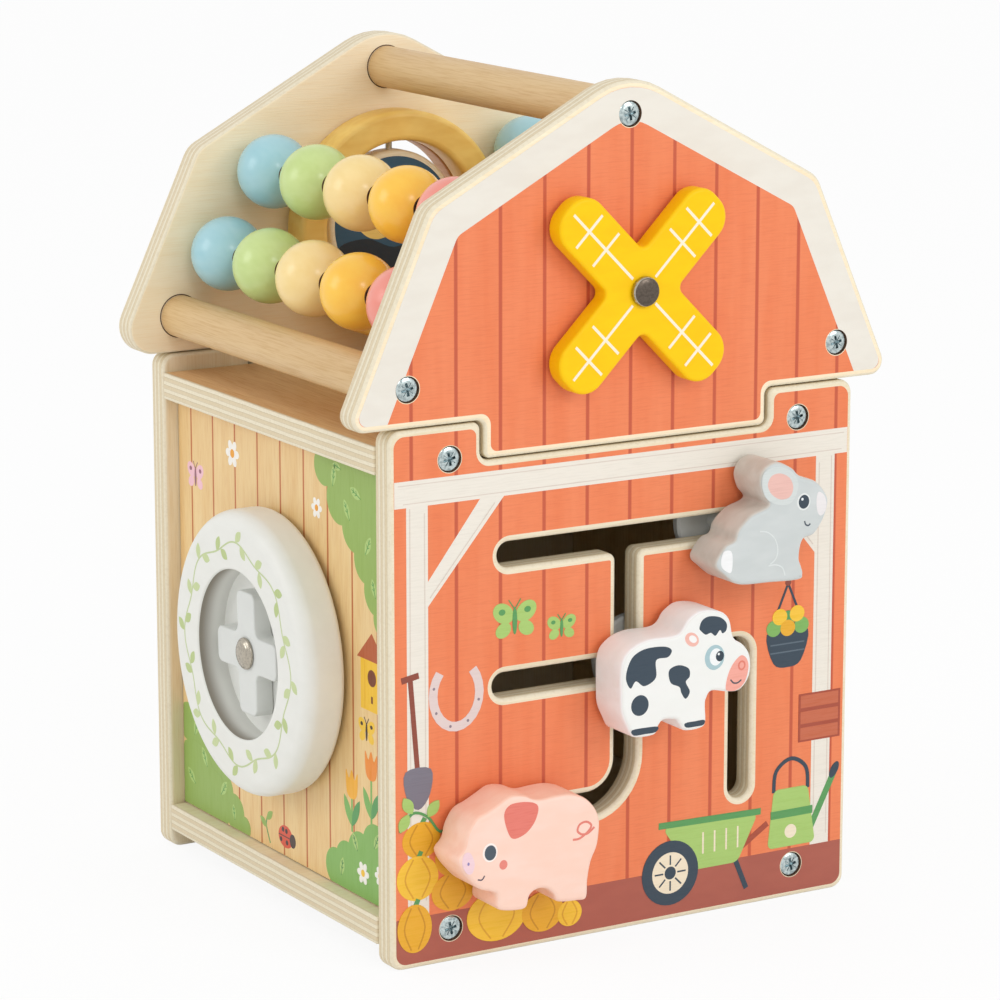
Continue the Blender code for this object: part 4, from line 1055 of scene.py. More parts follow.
# %% Wheel body
WHEEL_Y, WHEEL_Z, WHEEL_BACK, WHEEL_THICK = 90.0, 95.0, 91.0, 16.5
WHEEL_RADIUS, WINDOW_RADIUS, WINDOW_DEPTH = 51.8, 30.7, 11.2
WHEEL_BORE = 3.3
# white lacquer, sprayed and sanded between coats, so it has no visible grain
wheel_white = lacquer("white_lacquer", "#EAEAE4", "#E4E4DD", 0.4, "Y", depth_mm=0.003)


def recess_with_painted_shade(name, rim_colour, deep_colour, rim_x, fade_mm):
    """Thin white in a routed recess, with painted shade: darker and browner at the rim, fading to the white deeper
    in.
    """
    material, tree, shader = new_material(name, specular=0.3)
    across = add(tree, "SeparateXYZ", [add(tree, "TexCoord", take="Object")], take="X")
    depth = add(tree, "MapRange", [across, rim_x * MM, (rim_x + fade_mm) * MM], interpolation_type="SMOOTHSTEP")
    tone = add(tree, "Mix", [depth, linear(rim_colour), linear(deep_colour)], data_type="RGBA")
    surface(tree, shader, tone, fibre_noise(tree, "X", 0.6, 5.0), 0.01, 0.5, 0.6)
    return material


def wheel_profile():
    outer, face, floor = WHEEL_RADIUS, WHEEL_THICK, WHEEL_THICK - WINDOW_DEPTH
    back_round, face_round, window_round, foot = 3, 6, 0.9, 0.3
    return [(WHEEL_BORE, 0), *arc(outer - back_round, back_round, back_round, -90, 0, 8),
            *arc(outer - face_round, face - face_round, face_round, 0, 90, 14),
            *arc(WINDOW_RADIUS + window_round, face - window_round, window_round, 90, 180, 5),
            (WINDOW_RADIUS, floor + foot), (WINDOW_RADIUS - foot, floor), (WHEEL_BORE, floor)]


# the window's wall: painted shade, dark grey-brown at the rim fading to white 7 mm deeper
recess_shade_wall = recess_with_painted_shade("routed_recess_painted_shade", "#8D867A", "#DCDCD6", -WHEEL_BACK - WHEEL_THICK + 0.8, 7.0)
wheel = turned("wheel_body", wheel_profile(), 128, (-WHEEL_BACK, WHEEL_Y, WHEEL_Z), "left", True)
finish_piece("wheel_body", wheel, "side_wheel", [wheel_white, recess_shade_wall], ["side_wheel"])
hub = place(0, WHEEL_Y, WHEEL_Z)
# the window's wall takes the painted shade
give_faces(wheel, 1, lambda face: abs(face.normal.x) < 0.5
           and math.hypot(*(face.center - hub).yz) < (WINDOW_RADIUS + 0.05) * MM)
print("wheel:", len(wheel.polygons), "faces, recess", WINDOW_DEPTH, "mm deep")

# %% Cross, rivet and window floor
# pale grey lacquers, a tone apart, so that the cross stands out from the floor
wheel_grey = lacquer("pale_grey_lacquer", "#DEE0DC", "#D8DAD6", 0.42, "Y", depth_mm=0.003)
window_grey = lacquer("window_floor_lacquer", "#F2F3EE", "#ECEDE8", 0.42, "Y", depth_mm=0.003)
CROSS_THICK = 7.0
floor_x = WHEEL_BACK + WHEEL_THICK - WINDOW_DEPTH

spider = sheet_mesh("wheel_cross", [cross_outline(22.5, 6.7, 3, 3, 2)], CROSS_THICK, 0.7,
                    (-floor_x - 0.3 - CROSS_THICK / 2, WHEEL_Y, WHEEL_Z), "left")
finish_piece("wheel_cross", spider, "side_wheel", [wheel_grey], ["wheel_spider"])
rivet("wheel_rivet", 5.8, 2.4, 1.3, 0.8, nickel, (-floor_x - 0.6 - CROSS_THICK, WHEEL_Y, WHEEL_Z), "left")
plate_edge, plate_thick = WINDOW_RADIUS - 0.1, 0.2
window = turned("window_floor", [(5, 0), (plate_edge, 0), (plate_edge, plate_thick), (5, plate_thick)], 96,
                (-floor_x, WHEEL_Y, WHEEL_Z), "left", True)
finish_piece("window_floor", window, "side_wheel", [window_grey])


# %% Garland
def garland():
    """A wavy stem round the wheel's face with two leaves at every bend."""
    waves, steps, part = 8, 192, 24

    def on_stem(turn):
        radius = 39.6 + 1.5 * math.cos(waves * turn)
        return Vector((WHEEL_Y + radius * math.cos(turn), WHEEL_Z + radius * math.sin(turn)))

    stem = [on_stem(2 * math.pi * k / steps) for k in range(steps + 1)]
    shapes = [[(stroke(stem[first:first + part + 1], 0.62), "#C3D09D", 0)] for first in range(0, steps, part)]
    for k in range(2 * waves):
        for ahead, outer in ((0.0, True), (0.085, False)):
            turn = math.pi * k / waves + ahead
            heading = math.degrees(turn) + (44 if outer else 180 - 44)
            start = on_stem(turn) + Matrix.Rotation(math.radians(heading), 2) @ Vector((0.4, 0))
            shapes.append([(leaf(*start, 5.8, 3.3, heading), "#C8D59E" if k % 3 else "#BBCB8B", 1 + outer)])
    return shapes


lay_ink("wheel_garland", garland(), -WHEEL_BACK - WHEEL_THICK, "side_wheel", ink_upright, "left")

# %% [markdown]
# ## Animals
#
# Rabbit, cow and pig are sawn from 18 mm board with a band saw, so each is one soft outline
# given a thickness. Their fronts are smooth for the print and their sides only painted, so
# each has two lacquers. A peg joins each to a round flange behind the maze.

# %% Figure outlines
RABBIT = [(34, 125.8), (47, 124.9), (59.6, 124.4), (61.4, 126.4), (60.7, 129.2), (59.7, 132.6), (61.1, 138.7),
          (65.8, 140.2), (69.6, 144.9), (71.6, 150.1), (71.1, 153.8), (66.7, 159), (59.3, 162.1), (55.9, 165.2),
          (49.5, 168), (44.4, 166.2), (42.3, 161.9), (43.7, 156.9), (46.3, 152.7), (38.9, 150), (33.7, 145.5),
          (32.1, 141.8), (28.3, 140.3), (24.8, 136.1), (24.3, 133.3), (27.1, 130.5)]
COW = [(-14.7, 90.9), (-14.4, 103), (-10.7, 108.2), (-3.4, 110.8), (8.4, 111), (13.2, 115.8), (18.6, 118.3),
       (26.6, 117), (30.4, 113.6), (32.2, 107), (36.5, 103.7), (39.1, 99.8), (39.6, 95), (38.4, 90.8), (35, 87.6),
       (30.3, 87.5), (23.3, 88.8), (21, 86.4), (20.6, 83.9), (20.7, 77.5), (17.8, 75.8), (11.9, 76), (9.8, 78.4),
       (8, 80.5), (3.1, 81), (1, 79.2), (-0.5, 76.4), (-6.6, 76.1), (-10.1, 77.1), (-12, 80.5), (-14.2, 85.5)]
PIG = [(-80.2, 43.7), (-79, 40), (-75.9, 35.9), (-71.4, 31.6), (-65.2, 29), (-64.9, 24.7), (-62.8, 22.6),
       (-56.7, 21.6), (-52.8, 22.1), (-51.4, 26.1), (-48.5, 27.8), (-44.8, 27.4), (-42.1, 25.1), (-40, 22),
       (-32.5, 21.1), (-28.4, 21.5), (-27.8, 28), (-26.5, 34.4), (-24, 39.9), (-23.1, 46.2), (-23.4, 49.9),
       (-25.4, 54.1), (-29.4, 57.9), (-35.1, 60), (-40.8, 60.3), (-46.5, 60), (-49.9, 60.6), (-53.9, 62.4),
       (-59.1, 62.9), (-63.9, 60.7), (-67.9, 58.8), (-72.7, 56.7), (-75.9, 52), (-77.4, 47)]
print("the cow is", max(x for x, z in COW) - min(x for x, z in COW), "mm long")

# %% Sawn figures
FIGURE_BACK, FIGURE_THICK, FIGURE_EDGE = -2.0, 17.88, 1.5
FIGURE_FACE = FIGURE_BACK - FIGURE_THICK


def figure(name, outline, face_colour, side_colour, side_drift):
    # the front is filled and sanded before it is sprayed; the side keeps the saw's fine marks
    face = lacquer(name + "_face_lacquer", face_colour, "#FFFFFF", 0.4, "X", 0.12, 0.01)
    side = lacquer(name + "_side_lacquer", side_colour, side_drift, 0.46, "X", 0.8, 0.03)
    mesh = sheet_mesh(name + "_body", [smooth(outline)], FIGURE_THICK, FIGURE_EDGE,
                      (0, FIGURE_BACK - FIGURE_THICK / 2, 0))
    finish_piece(name + "_body", mesh, name, [face, side], [name])
    give_faces(mesh, 1, lambda polygon: polygon.normal.y >= -0.6)
    print(name, "has", len(mesh.polygons), "faces")


figure("rabbit", RABBIT, "#C8CECD", "#D6D5CE", "#C7C4BB")
figure("cow", COW, "#EEEFEB", "#FCFDFE", "#F6F6F6")
figure("pig", PIG, "#FAD4C2", "#FDD3BF", "#F8C4AC")

# %% [markdown]
# ## Printed faces
#
# Spots, ears, eyes and mouths are screen printed with a few flat inks. Each is laid as its
# own small stack of ink shapes: soft outlines for the spots, ovals for the eyes and thin
# bent lines for mouths and haunches.

# %% Printing a figure
SLATE = "#364552"


def print_face(animal, motifs):
    lay_ink(animal + "_print", motifs, FIGURE_FACE, animal, ink_across, base=0.04)


print_face("rabbit", [
    [(smooth([(42.9, 161.2), (43.9, 165), (48.7, 166.4), (54.4, 164.8), (58.2, 160.4), (57.6, 155.6),
              (54.9, 152.6), (50.5, 152.6), (46.2, 154.4), (43.8, 157.3)]), "#D3D9D7"),
     (smooth([(45.4, 160.3), (46.9, 163.3), (50.6, 163.9), (54.6, 161.9), (56.2, 158.2), (54.7, 155),
              (50.7, 154.6), (47, 156.9)]), "#E9BCB2")],
    [(smooth([(67, 155.4), (69.4, 154.2), (70.6, 151.2), (70.2, 148.4), (68.4, 146.8), (66.9, 148.1),
              (66.3, 151.8)]), "#E9E5E5")],
    [(smooth([(26.2, 136.2), (27.4, 138.6), (30.1, 138.4), (30.9, 135.5), (30.4, 130.8), (28.2, 131.4),
              (26.3, 133.3)]), "#F2F3F3")],
    [(oval(60.8, 152.6, 5.7, 6.2), "#E4E8E6"), (oval(60.9, 152.6, 4.5, 5.0), "#34424E"),
     (oval(60.2, 153.6, 1.0, 1.0), "#E8EEF0")],
    [(soft_line([(61.3, 145.6), (61.8, 144.3), (62.9, 143.8), (63.8, 144.4)], 0.55), "#4A5560")],
    [(soft_line([(42.3, 144), (45.7, 143.3), (48.8, 140.5), (50.0, 136.6), (49.2, 133.4), (46.9, 131.7)], 0.45),
      "#DCE1E0")],
    [(soft_line([(46.2, 131.2), (49.3, 131.2), (52.1, 129.8), (53.3, 126.8)], 0.45), "#DCE1E0")],
])

# %% Cow's print
MUZZLE = "#F2A99A"
print_face("cow", [
    [(smooth([(-13.0, 98), (-12.2, 102.4), (-9.8, 106), (-4.8, 107.9), (2.6, 107.7), (5.8, 106), (4.2, 103.7),
              (-0.6, 103.2), (-0.7, 97), (-5.4, 94.6), (-8.9, 96.8), (-11.1, 94.5)]), SLATE)],
    [(smooth([(4.8, 98.8), (8.7, 100.2), (12.9, 98.5), (13.4, 95.6), (11.8, 93.7), (13.5, 90.1), (11.8, 87.7),
              (10, 90), (9.1, 92.3), (5.5, 94.3)]), SLATE)],
    [(oval(-7.2, 87.9, 7.2, 7.4), SLATE)],
    [(smooth([(17.3, 112.4), (18.4, 115), (21.3, 116.1), (25.9, 115.2), (28.6, 112.8), (28.6, 110.3), (27, 109.3),
              (25.9, 110.6), (24, 108.8), (22.1, 110.1), (20, 109.7), (18.1, 111.1)]), SLATE)],
    [(oval(14.2, 108.7, 6.2, 4.6, -35), "#F0B8AB"), (oval(14.6, 108.8, 3.6, 2.4, -35), "#F5F3F1")],
    [(oval(23.8, 101, 8.2, 9.0), "#A9C6CC"), (oval(24.3, 101.1, 5.2, 6.2), "#F2F5F5"),
     (oval(26.0, 101.2, 3.4, 3.8), "#2F3D4A"), (oval(25.5, 102.0, 0.9, 0.9), "#F2F5F5")],
    [(smooth([(28.7, 88.9), (29.4, 93.5), (31.5, 97.5), (34.8, 100.2), (37.2, 99), (38.2, 95.7), (37, 91),
              (34.4, 88.4), (31.3, 87.8)]), MUZZLE),
     (oval(35.3, 96.6, 3.2, 3.6), "#E4806F"), (oval(35.3, 96.6, 1.9, 2.3), MUZZLE),
     (soft_line([(30.6, 92), (31.9, 90.7), (33.6, 90.5), (35.2, 91.4)], 0.55), "#46525C")],
    [(smooth([(-10.4, 79.4), (-5, 79.6), (0.4, 79.2), (-0.6, 77.4), (-5, 77.3), (-9.6, 77.4)], 3), SLATE)],
    [(smooth([(11.6, 78.8), (16, 79), (19.8, 78.9), (19.4, 77.2), (16, 77.0), (12.2, 77.2)], 3), SLATE)],
])

# %% Pig's print
TAIL = "#E58577"
print_face("pig", [
    [(smooth([(-62.1, 57), (-59.8, 60), (-54.6, 60.3), (-49.9, 59.2), (-48.4, 56.9), (-50, 52.3), (-53.7, 48.8),
              (-58.6, 47.8), (-61, 51.5)]), "#E67E70")],
    [(smooth([(-78, 45.2), (-75.6, 45.4), (-73.9, 41.6), (-74.7, 38.2), (-76.8, 38.2), (-78.7, 41.6)]), "#F3D3DA"),
     (oval(-76.3, 41.6, 0.9, 1.2), "#8E86B8")],
    [(oval(-67.7, 44.3, 5.9, 6.7), "#FEF1EB"), (oval(-67.6, 44.2, 4.6, 5.4), "#4A5661")],
    [(oval(-62.4, 39.1, 3.2, 3.4), "#E98A7D")],
    [(soft_line([(-72.6, 35.4), (-71, 35.1), (-69.9, 36.4)], 0.5), "#5A5560")],
    [(soft_line([(-34.4, 43.6), (-31.6, 43.7), (-28.3, 45.6), (-26.9, 47.7), (-28.9, 49.3), (-31.6, 48.7),
                 (-32.5, 46.5), (-30.9, 45.0)], 0.8), TAIL),
     (soft_line([(-30.9, 45.0), (-28.4, 45.0), (-25.6, 46.9)], 0.8), TAIL)],
])

# %% [markdown]
# ## Pegs
#
# Peg and flange are one moulding, round throughout, so the lathe's spin makes them too.

# %% Pegs and flanges
# ABS, injection moulded: even grey, faintly clouded, with the soft gloss of a mould
peg_abs = lacquer("moulded_abs", "#C9CCCB", "#BDC0BF", 0.45, share=0.3, depth_mm=0.002, specular=0.5)
PEG_RADIUS, FLANGE_RADIUS, FLANGE_ROUND = 3.9, 16, 0.8
PEG_FRONT, FLANGE_FRONT, FLANGE_REAR = -10.7, 10.5, 14.5
PEGS = {"rabbit": (44.0, TOP_SLOT), "cow": (10.0, MIDDLE_SLOT), "pig": (-50.0, LOWER_SLOT)}

peg_profile = [
    (0, PEG_FRONT), (PEG_RADIUS, PEG_FRONT), (PEG_RADIUS, FLANGE_FRONT),
    (FLANGE_RADIUS - FLANGE_ROUND, FLANGE_FRONT), (FLANGE_RADIUS, FLANGE_FRONT + FLANGE_ROUND),
    (FLANGE_RADIUS, FLANGE_REAR - FLANGE_ROUND), (FLANGE_RADIUS - FLANGE_ROUND, FLANGE_REAR), (0, FLANGE_REAR),
]
for animal, (x, z) in PEGS.items():
    peg = turned(animal + "_peg_turned", peg_profile, 48, (x, 0, z), "rear")
    finish_piece(animal + "_peg_turned", peg, animal + "_peg", [peg_abs], [animal + "_peg"])
print(len(PEGS), "animals on their pegs")

# %% [markdown]
# ## Pictures on the front
#
# White beams frame the barn door, as on any barn, above a red-brown floor. The garden
# things around the maze are plain shapes in a few inks: a pile of gourds, a spade, a
# wheelbarrow, a watering can, a crate, a horseshoe, a flower basket and butterflies. Each
# is a small function of its place and size, which is easier to move about than a list of
# points. They keep clear of the bare rims of the slots and of the screws.

# %% Floor band
# red-brown screen ink, one even coat; it is a sheet because it needs holes for the screws
floor_ink = lacquer("red_brown_screen_ink", "#AE6050", "#A4584A", 0.46, "X", depth_mm=0.02)
FLOOR_TOP, PRINT_EDGE, PRINT_FOOT = 18.5, 93.5, 2
floor_shape = rounded([(-PRINT_EDGE, PRINT_FOOT, 4), (PRINT_EDGE, PRINT_FOOT, 4), (PRINT_EDGE, FLOOR_TOP, 0.3),
                       (-PRINT_EDGE, FLOOR_TOP, 0.3)])
print_sheet("floor_band", [floor_shape, *print_holes(SCREW_PLACES[2:])], 0.1, floor_ink)
print("the floor band is", FLOOR_TOP - PRINT_FOOT, "mm high")

# %% Beams
FRAME_INK, BEAM_LINE = "#ECE6DA", "#DCD0C4"
BEAM_FOOT, BEAM_TOP = 163.5, 172.7


def box_shape(left, right, low, high):
    return [(left, low), (right, low), (right, high), (left, high)]


def beams():
    """Posts and braces, then the top beam over them, then a pencil line along each edge."""
    shapes = []
    for side, near, far in ((-1, 80.4, 88.8), (1, 79.9, 88)):
        brace = ((59.8, BEAM_FOOT), (50.3, BEAM_FOOT), (near, 128.2), (near, 136.9))
        post = box_shape(*sorted((side * near, side * far)), FLOOR_TOP, BEAM_FOOT + 0.5)
        shapes += [([(side * x, z) for x, z in brace], FRAME_INK), (post, FRAME_INK)]
    shapes.append((box_shape(-93.4, 93.4, BEAM_FOOT, BEAM_TOP), FRAME_INK))
    pencil = [((-92, 171.2), (92, 170.9)), ((-90, 164.8), (91, 165)), ((-87.6, 22), (-87.4, 163)),
              ((-81.5, 24), (-81.7, 161)), ((86.9, 22), (86.7, 163)), ((81.2, 24), (81.4, 161)),
              ((-79.6, 131.2), (-54, 161.5)), ((79.2, 131.2), (54, 161.5))]
    return [shapes + [(stroke(line, 0.35), BEAM_LINE) for line in pencil]]


lay_ink("front_beams", beams(), 0, "barn", ink_across, base=0.055)

# %% Gourd pile
GREEN, LEAF_GREEN, DARK_GREEN = "#A9CB72", "#7FB35F", "#5B9B5B"
OCHRE, DARK_OCHRE = "#F5C53F", "#E9AE30"
GOURDS = ((-83.5, 46, 15, 13, 1), (-85, 32.5, 16.5, 16, 0), (-69, 38, 18, 15, 1), (-54, 30, 20, 17, 0),
          (-71, 25.6, 17, 13.6, 1), (-86.3, 14.6, 13.6, 17.4, 1), (-53.4, 14, 24, 18.6, 0),
          (-34.6, 12.2, 17, 14.6, 1), (-23.4, 9.8, 10, 9.6, 0))     # x, z, width, height, dark or not
VINE = [(-92, 50), (-87, 56), (-81, 54), (-76, 48), (-70, 50), (-64, 46)]


def gourd(x, z, width, height, colour, rib, layer):
    ribs = [soft_line([(x + s * width * 0.1, z + height * 0.44), (x + s * width * 0.3, z),
                       (x + s * width * 0.1, z - height * 0.44)], 0.6) for s in (-1, 1)]
    return [(stroke([(x, z + height * 0.42), (x + 1.5, z + height * 0.6)], 1.8), DARK_GREEN, layer),
            (oval(x, z, width, height), colour, layer + 1), *((line, rib, layer + 2) for line in ribs)]


def gourd_pile():
    """Gourds from the rear of the heap to its front, around the lower left screw."""
    pile = []
    for order, (*size, dark) in enumerate(GOURDS):
        inks = (DARK_OCHRE, "#CC9026") if dark else (OCHRE, "#DDA332")
        pile += gourd(*size, *inks, 3 * order)
    top = 3 * len(GOURDS)
    leaves = ((-87, 56, 120), (-81, 54, 50), (-70, 50, 80), (-92, 50, 60))
    return [*pile, (soft_line(VINE, 0.9), DARK_GREEN, top),
            *((leaf(x, z, 7, 4.2, turn), GREEN, top + 1) for x, z, turn in leaves)]


print(len(GOURDS), "gourds in", len(gourd_pile()), "shapes")

# %% Spade and wheelbarrow
BROWN, CREAM, BARK = "#A84F3A", "#F2E5CB", "#8F4A3A"


def spade(x, foot, top, lean):
    blade = [(x - 5, foot + 13), (x + 5, foot + 13), (x + 4.6, foot + 4), (x, foot - 1), (x - 4.6, foot + 4)]
    grip = x - lean
    return [(stroke([(x, foot + 10), (grip, top)], 1.9), BARK),
            (stroke([(grip - 3.4, top - 0.6), (grip + 3.4, top + 0.6)], 2.2), BARK), (smooth(blade, 4), "#7C7884")]


def wheelbarrow(x, z, size):
    """A barrow seen from its side, its wheel's hub at (x, z)."""
    tub = rounded([(x + 9, z - 0.5, 4), (x + 29, z - 0.5, 4), (x + 38, z + 17, 2), (x - 4, z + 18, 2)])
    parts = [(stroke([(x + 26, z + 2), (x + 42, z + 12)], 2.2), BROWN),
             (stroke([(x + 27, z + 3), (x + 33, z - 11)], 2.0), SLATE), (tub, GREEN),
             (stroke([(x - 5, z + 18), (x + 39, z + 17)], 2.4), DARK_GREEN)]
    parts += [(stroke([(x + at, z + 5), (x + at, z + 13)], 0.7), CREAM) for at in (14, 19, 24, 29)]
    wheel_rings = ((1, SLATE), (0.64, CREAM), (0.2, SLATE))
    parts += [(oval(x, z, size * share, size * share), ink) for share, ink in wheel_rings]
    for spoke in range(8):
        a = math.pi * spoke / 4
        parts.append((stroke([(x + r * math.cos(a), z + r * math.sin(a)) for r in (3, 6.6)], 0.6), SLATE))
    return parts


print("the barrow has", len(wheelbarrow(0, 0, 24)), "shapes")


# %% Watering can and crate
def watering_can(x, foot):
    body = rounded([(x - 10.5, foot, 2), (x - 8, foot + 22, 2.5), (x + 7, foot + 22, 2.5), (x + 10.5, foot, 2)])
    hoop = [(x - 8, foot + 21), (x - 7, foot + 29), (x - 0.5, foot + 33), (x + 6, foot + 29), (x + 7, foot + 21)]
    return [(soft_line(hoop, 1.5), SLATE), (stroke([(x + 8, foot + 5), (x + 18.4, foot + 25)], 2.6), DARK_GREEN),
            (body, GREEN), (oval(x + 18.6, foot + 26, 3.2, 6.6, -30), SLATE),
            (box_shape(x - 9.2, x + 9.2, foot + 11, foot + 14), DARK_GREEN),
            (oval(x - 0.4, foot + 5.6, 5.2, 5.2), CREAM)]


def crate(left, right, low, high):
    slat = (high - low) / 3
    return [(box_shape(left, right, low, high), BROWN),
            *((box_shape(left + 0.9, right - 0.9, low + slat * k + 0.7, low + slat * (k + 1) - 0.7), "#C66B4C")
              for k in range(3))]


print("a crate has", len(crate(0, 9, 0, 9)) - 1, "slats")


# %% Horseshoe, basket and butterflies
def horseshoe(x, z):
    path = [(x + 9.2 * math.cos(a), z + 11.5 * math.sin(a)) for a in map(math.radians, range(-225, 46, 15))]
    return [(stroke(path, 3.4), "#E2CFCB"), *((oval(*spot, 1.0, 1.0), "#8C7C86") for spot in path[2:-2:3])]


def flower_basket(x, z):
    pot = [(x - 9, z + 3), (x, z + 3.5), (x + 9, z + 3), (x + 6, z - 8), (x, z - 10), (x - 6, z - 8)]
    flowers = ((-6, 5, LEAF_GREEN), (6, 5, LEAF_GREEN), (0, 8, DARK_GREEN), (-3.5, 9, OCHRE), (4, 9.5, OCHRE),
               (0, 4.6, DARK_OCHRE))
    return [*((stroke([(x, z + 21), (x + dx, z + 3)], 0.9), SLATE) for dx in (-8, 8)),
            (oval(x, z + 21.4, 2.6, 2.6), BARK), (smooth(pot, 4), SLATE),
            *((stroke([(x - 7.4, z - down), (x + 7.4, z - down)], 0.5), "#5B6A76") for down in (1.2, 4.2)),
            *((oval(x + dx, z + dz, 6.4, 6.0), colour) for dx, dz, colour in flowers)]


def butterfly(x, z, wing, body_ink, size=1.0):
    wings = [(oval(x + s * 3.4 * size, z + dz * size, w * size, h * size, s * turn), wing)
             for s in (-1, 1) for dz, w, h, turn in ((2.2, 6.6, 5.0, 35), (-2.2, 4.8, 3.8, -30))]
    dots = [(oval(x + s * 3.8 * size, z + 2.6 * size, 2 * size, 1.6 * size), body_ink) for s in (-1, 1)]
    feelers = [(stroke([(x, z + 3 * size), (x + s * 1.8 * size, z + 5.6 * size)], 0.35), body_ink) for s in (-1, 1)]
    return [*wings, *dots, *feelers, (oval(x, z, 1.4 * size, 7.2 * size), body_ink)]


lay_ink("garden_pictures", [
    gourd_pile(), spade(-84.6, 58, 104, 3), wheelbarrow(19, 17.6, 24), watering_can(71.6, 19.5),
    crate(74, 92.4, 58, 76), horseshoe(-69.4, 96), flower_basket(68.6, 97),
    butterfly(-46, 119, GREEN, DARK_GREEN, 1.35), butterfly(-27, 114, GREEN, DARK_GREEN, 0.9),
], 0, "barn", ink_across, base=0.15)

# %% [markdown]
# ## Pictures on the side
#
# The side wall is straw-coloured planks with green growth at its corners: hanging leaves,
# a hedge, tulips, a bird box, a ladybird and small flowers. A bush is a heap of round
# spots in one ink, cut off where the board ends: a heap needs no drawn outline and still
# gets its scalloped edge.

# %% Bushes
BOARD_LOW, BOARD_HIGH = (10.7, 17.9), (169.3, 172.9)
BUSH, BUSH_DEEP, BUSH_PALE = "#97B45E", "#629D50", "#B1CC7C"


def on_board(outline):
    """An outline cut off at the edges of the side board, without doubled points."""
    made = []
    for point in outline:
        point = Vector(min(max(p, low), high) for p, low, high in zip(point, BOARD_LOW, BOARD_HIGH))
        if not made or min((point - made[-1]).length, (point - made[0]).length) > 0.05:
            made.append(point)
    return made


def bush(spots, leaves, ink=BUSH, vein=BUSH_DEEP):
    """Round spots that melt into one scalloped shape, with veined leaves drawn on it."""
    shapes = [(on_board(oval(u, v, size, size * 0.94)), ink, order) for order, (u, v, size) in enumerate(spots)]
    top = len(spots)
    for u, v, length, turn in leaves:
        stalk = Vector((u, v))
        tip = Matrix.Rotation(math.radians(turn), 2) @ Vector((length, 0))
        shapes.append((leaf(u, v, length, length * 0.46, turn), BUSH_PALE, top))
        for foot in (stalk + tip * 0.35, stalk + tip * 0.6):
            for lean, layer in ((38, top + 2), (-38, top + 1)):
                rib = Matrix.Rotation(math.radians(turn + lean), 2) @ Vector((length * 0.2, 0))
                shapes.append((stroke([foot, foot + rib], 0.3), vein, layer))
        shapes.append((stroke([stalk, stalk + tip * 0.85], 0.35), vein, top + 3))
    return shapes


print("a spot in the corner keeps", len(on_board(oval(*BOARD_LOW, 9, 9))), "points")


# %% Flowers, bird box and ladybird
def blossom(u, v, size, petal, heart):
    petals = []
    for turn in range(0, 360, 60):
        a = math.radians(turn)
        petals.append((oval(u + size * math.cos(a), v + size * math.sin(a), size * 1.25, size * 0.95, turn), petal))
    return [*petals, (oval(u, v, size, size), heart)]


def tulip(u, foot, height, ink):
    top = foot + height
    cup = [(u - 4.2, top + 8), (u - 2, top + 5.2), (u, top + 8.6), (u + 2, top + 5.2), (u + 4.2, top + 8),
           (u + 3.6, top), (u, top - 2), (u - 3.6, top)]
    return [(stroke([(u, foot), (u, top)], 1.2), LEAF_GREEN), (leaf(u, foot + 2, 12, 4, 62), LEAF_GREEN),
            (leaf(u, foot + 2, 12, 4, 118), DARK_GREEN), (smooth(cup, 4), ink)]


def bird_box(u, v):
    hole_ink = "#7A3E2A"
    roof = [(u - 10.5, v + 7), (u + 10.5, v + 7), (u, v + 17)]
    return [(box_shape(u - 8, u + 8, v - 11, v + 8), OCHRE), (roof, "#B9603B"), (oval(u, v + 1, 6, 6), hole_ink),
            (stroke([(u, v - 5.5), (u, v - 8)], 1.2), hole_ink),
            *((stroke([(u + dx, v - 10.5), (u + dx, v + 6.5)], 0.35), DARK_OCHRE) for dx in (-5, 5))]


def ladybird(u, v):
    ink, spots = "#4A3A36", ((2, 2.4), (3.6, -1.6), (-1, -2), (-0.6, 2.2))
    return [(oval(u, v, 11, 8.4), "#DA5A43"), (oval(u - 5.4, v - 0.4, 4.6, 5.2), ink),
            (stroke([(u - 3, v), (u + 5.2, v)], 0.4), ink),
            *((oval(u + du, v + dv, 1.9, 1.9), ink) for du, dv in spots)]


print("a tulip has", len(tulip(0, 0, 9, OCHRE)), "shapes")

# %% Laying the side's pictures
PETAL, HEART = "#F8F5EE", "#F0A63C"
hanging_leaves = bush(
    [(56, 168, 15), (45, 158, 19), (34, 150, 19), (26, 140, 18), (19, 130, 18), (15, 121, 13), (24, 160, 40),
     (44, 170, 22), (18, 146, 26)],
    [(50, 162, 8, 100), (38, 152, 8, 60), (27, 142, 8, 120), (20, 128, 7, 70), (30, 161, 8, 20), (18, 154, 8, 100),
     (44, 169, 6, 10)])
hedge = bush(
    [(165, 50, 16), (157, 44, 19), (147, 38, 19), (138, 30, 18), (128, 24, 15), (120, 20, 9), (160, 28, 34),
     (145, 24, 26)],
    [(160, 46, 8, 110), (150, 36, 8, 60), (139, 28, 8, 130), (160, 27, 8, 40), (128, 21, 6, 80)])
low_bush = bush(
    [(50, 24, 15), (42, 28, 16), (32, 33, 18), (21, 38, 19), (14, 43, 12), (24, 24, 26), (40, 21, 18)],
    [(46, 22, 7, 100), (34, 34, 7, 60), (22, 38, 7, 120), (16, 25, 7, 60)], "#86B45F", "#4E8B4E")
sprig = [(soft_line([(100, 19.5), (103, 26), (101, 31)], 0.7), DARK_GREEN),
         (leaf(102.4, 25, 6, 2.8, 30), BUSH), (leaf(102.6, 28, 6, 2.8, 140), BUSH)]
side_motifs = [
    hanging_leaves, hedge, low_bush, tulip(24, 46, 18, "#F0913C"), tulip(38, 40, 14, "#F3B23C"), bird_box(23, 98),
    butterfly(27, 79, "#F5C94A", "#4A3A32", 0.9), blossom(126, 160, 3.2, PETAL, HEART),
    blossom(62, 152, 2.4, PETAL, HEART), butterfly(156, 146, "#F3C3CF", "#9A6A78"), ladybird(88, 25), sprig,
]
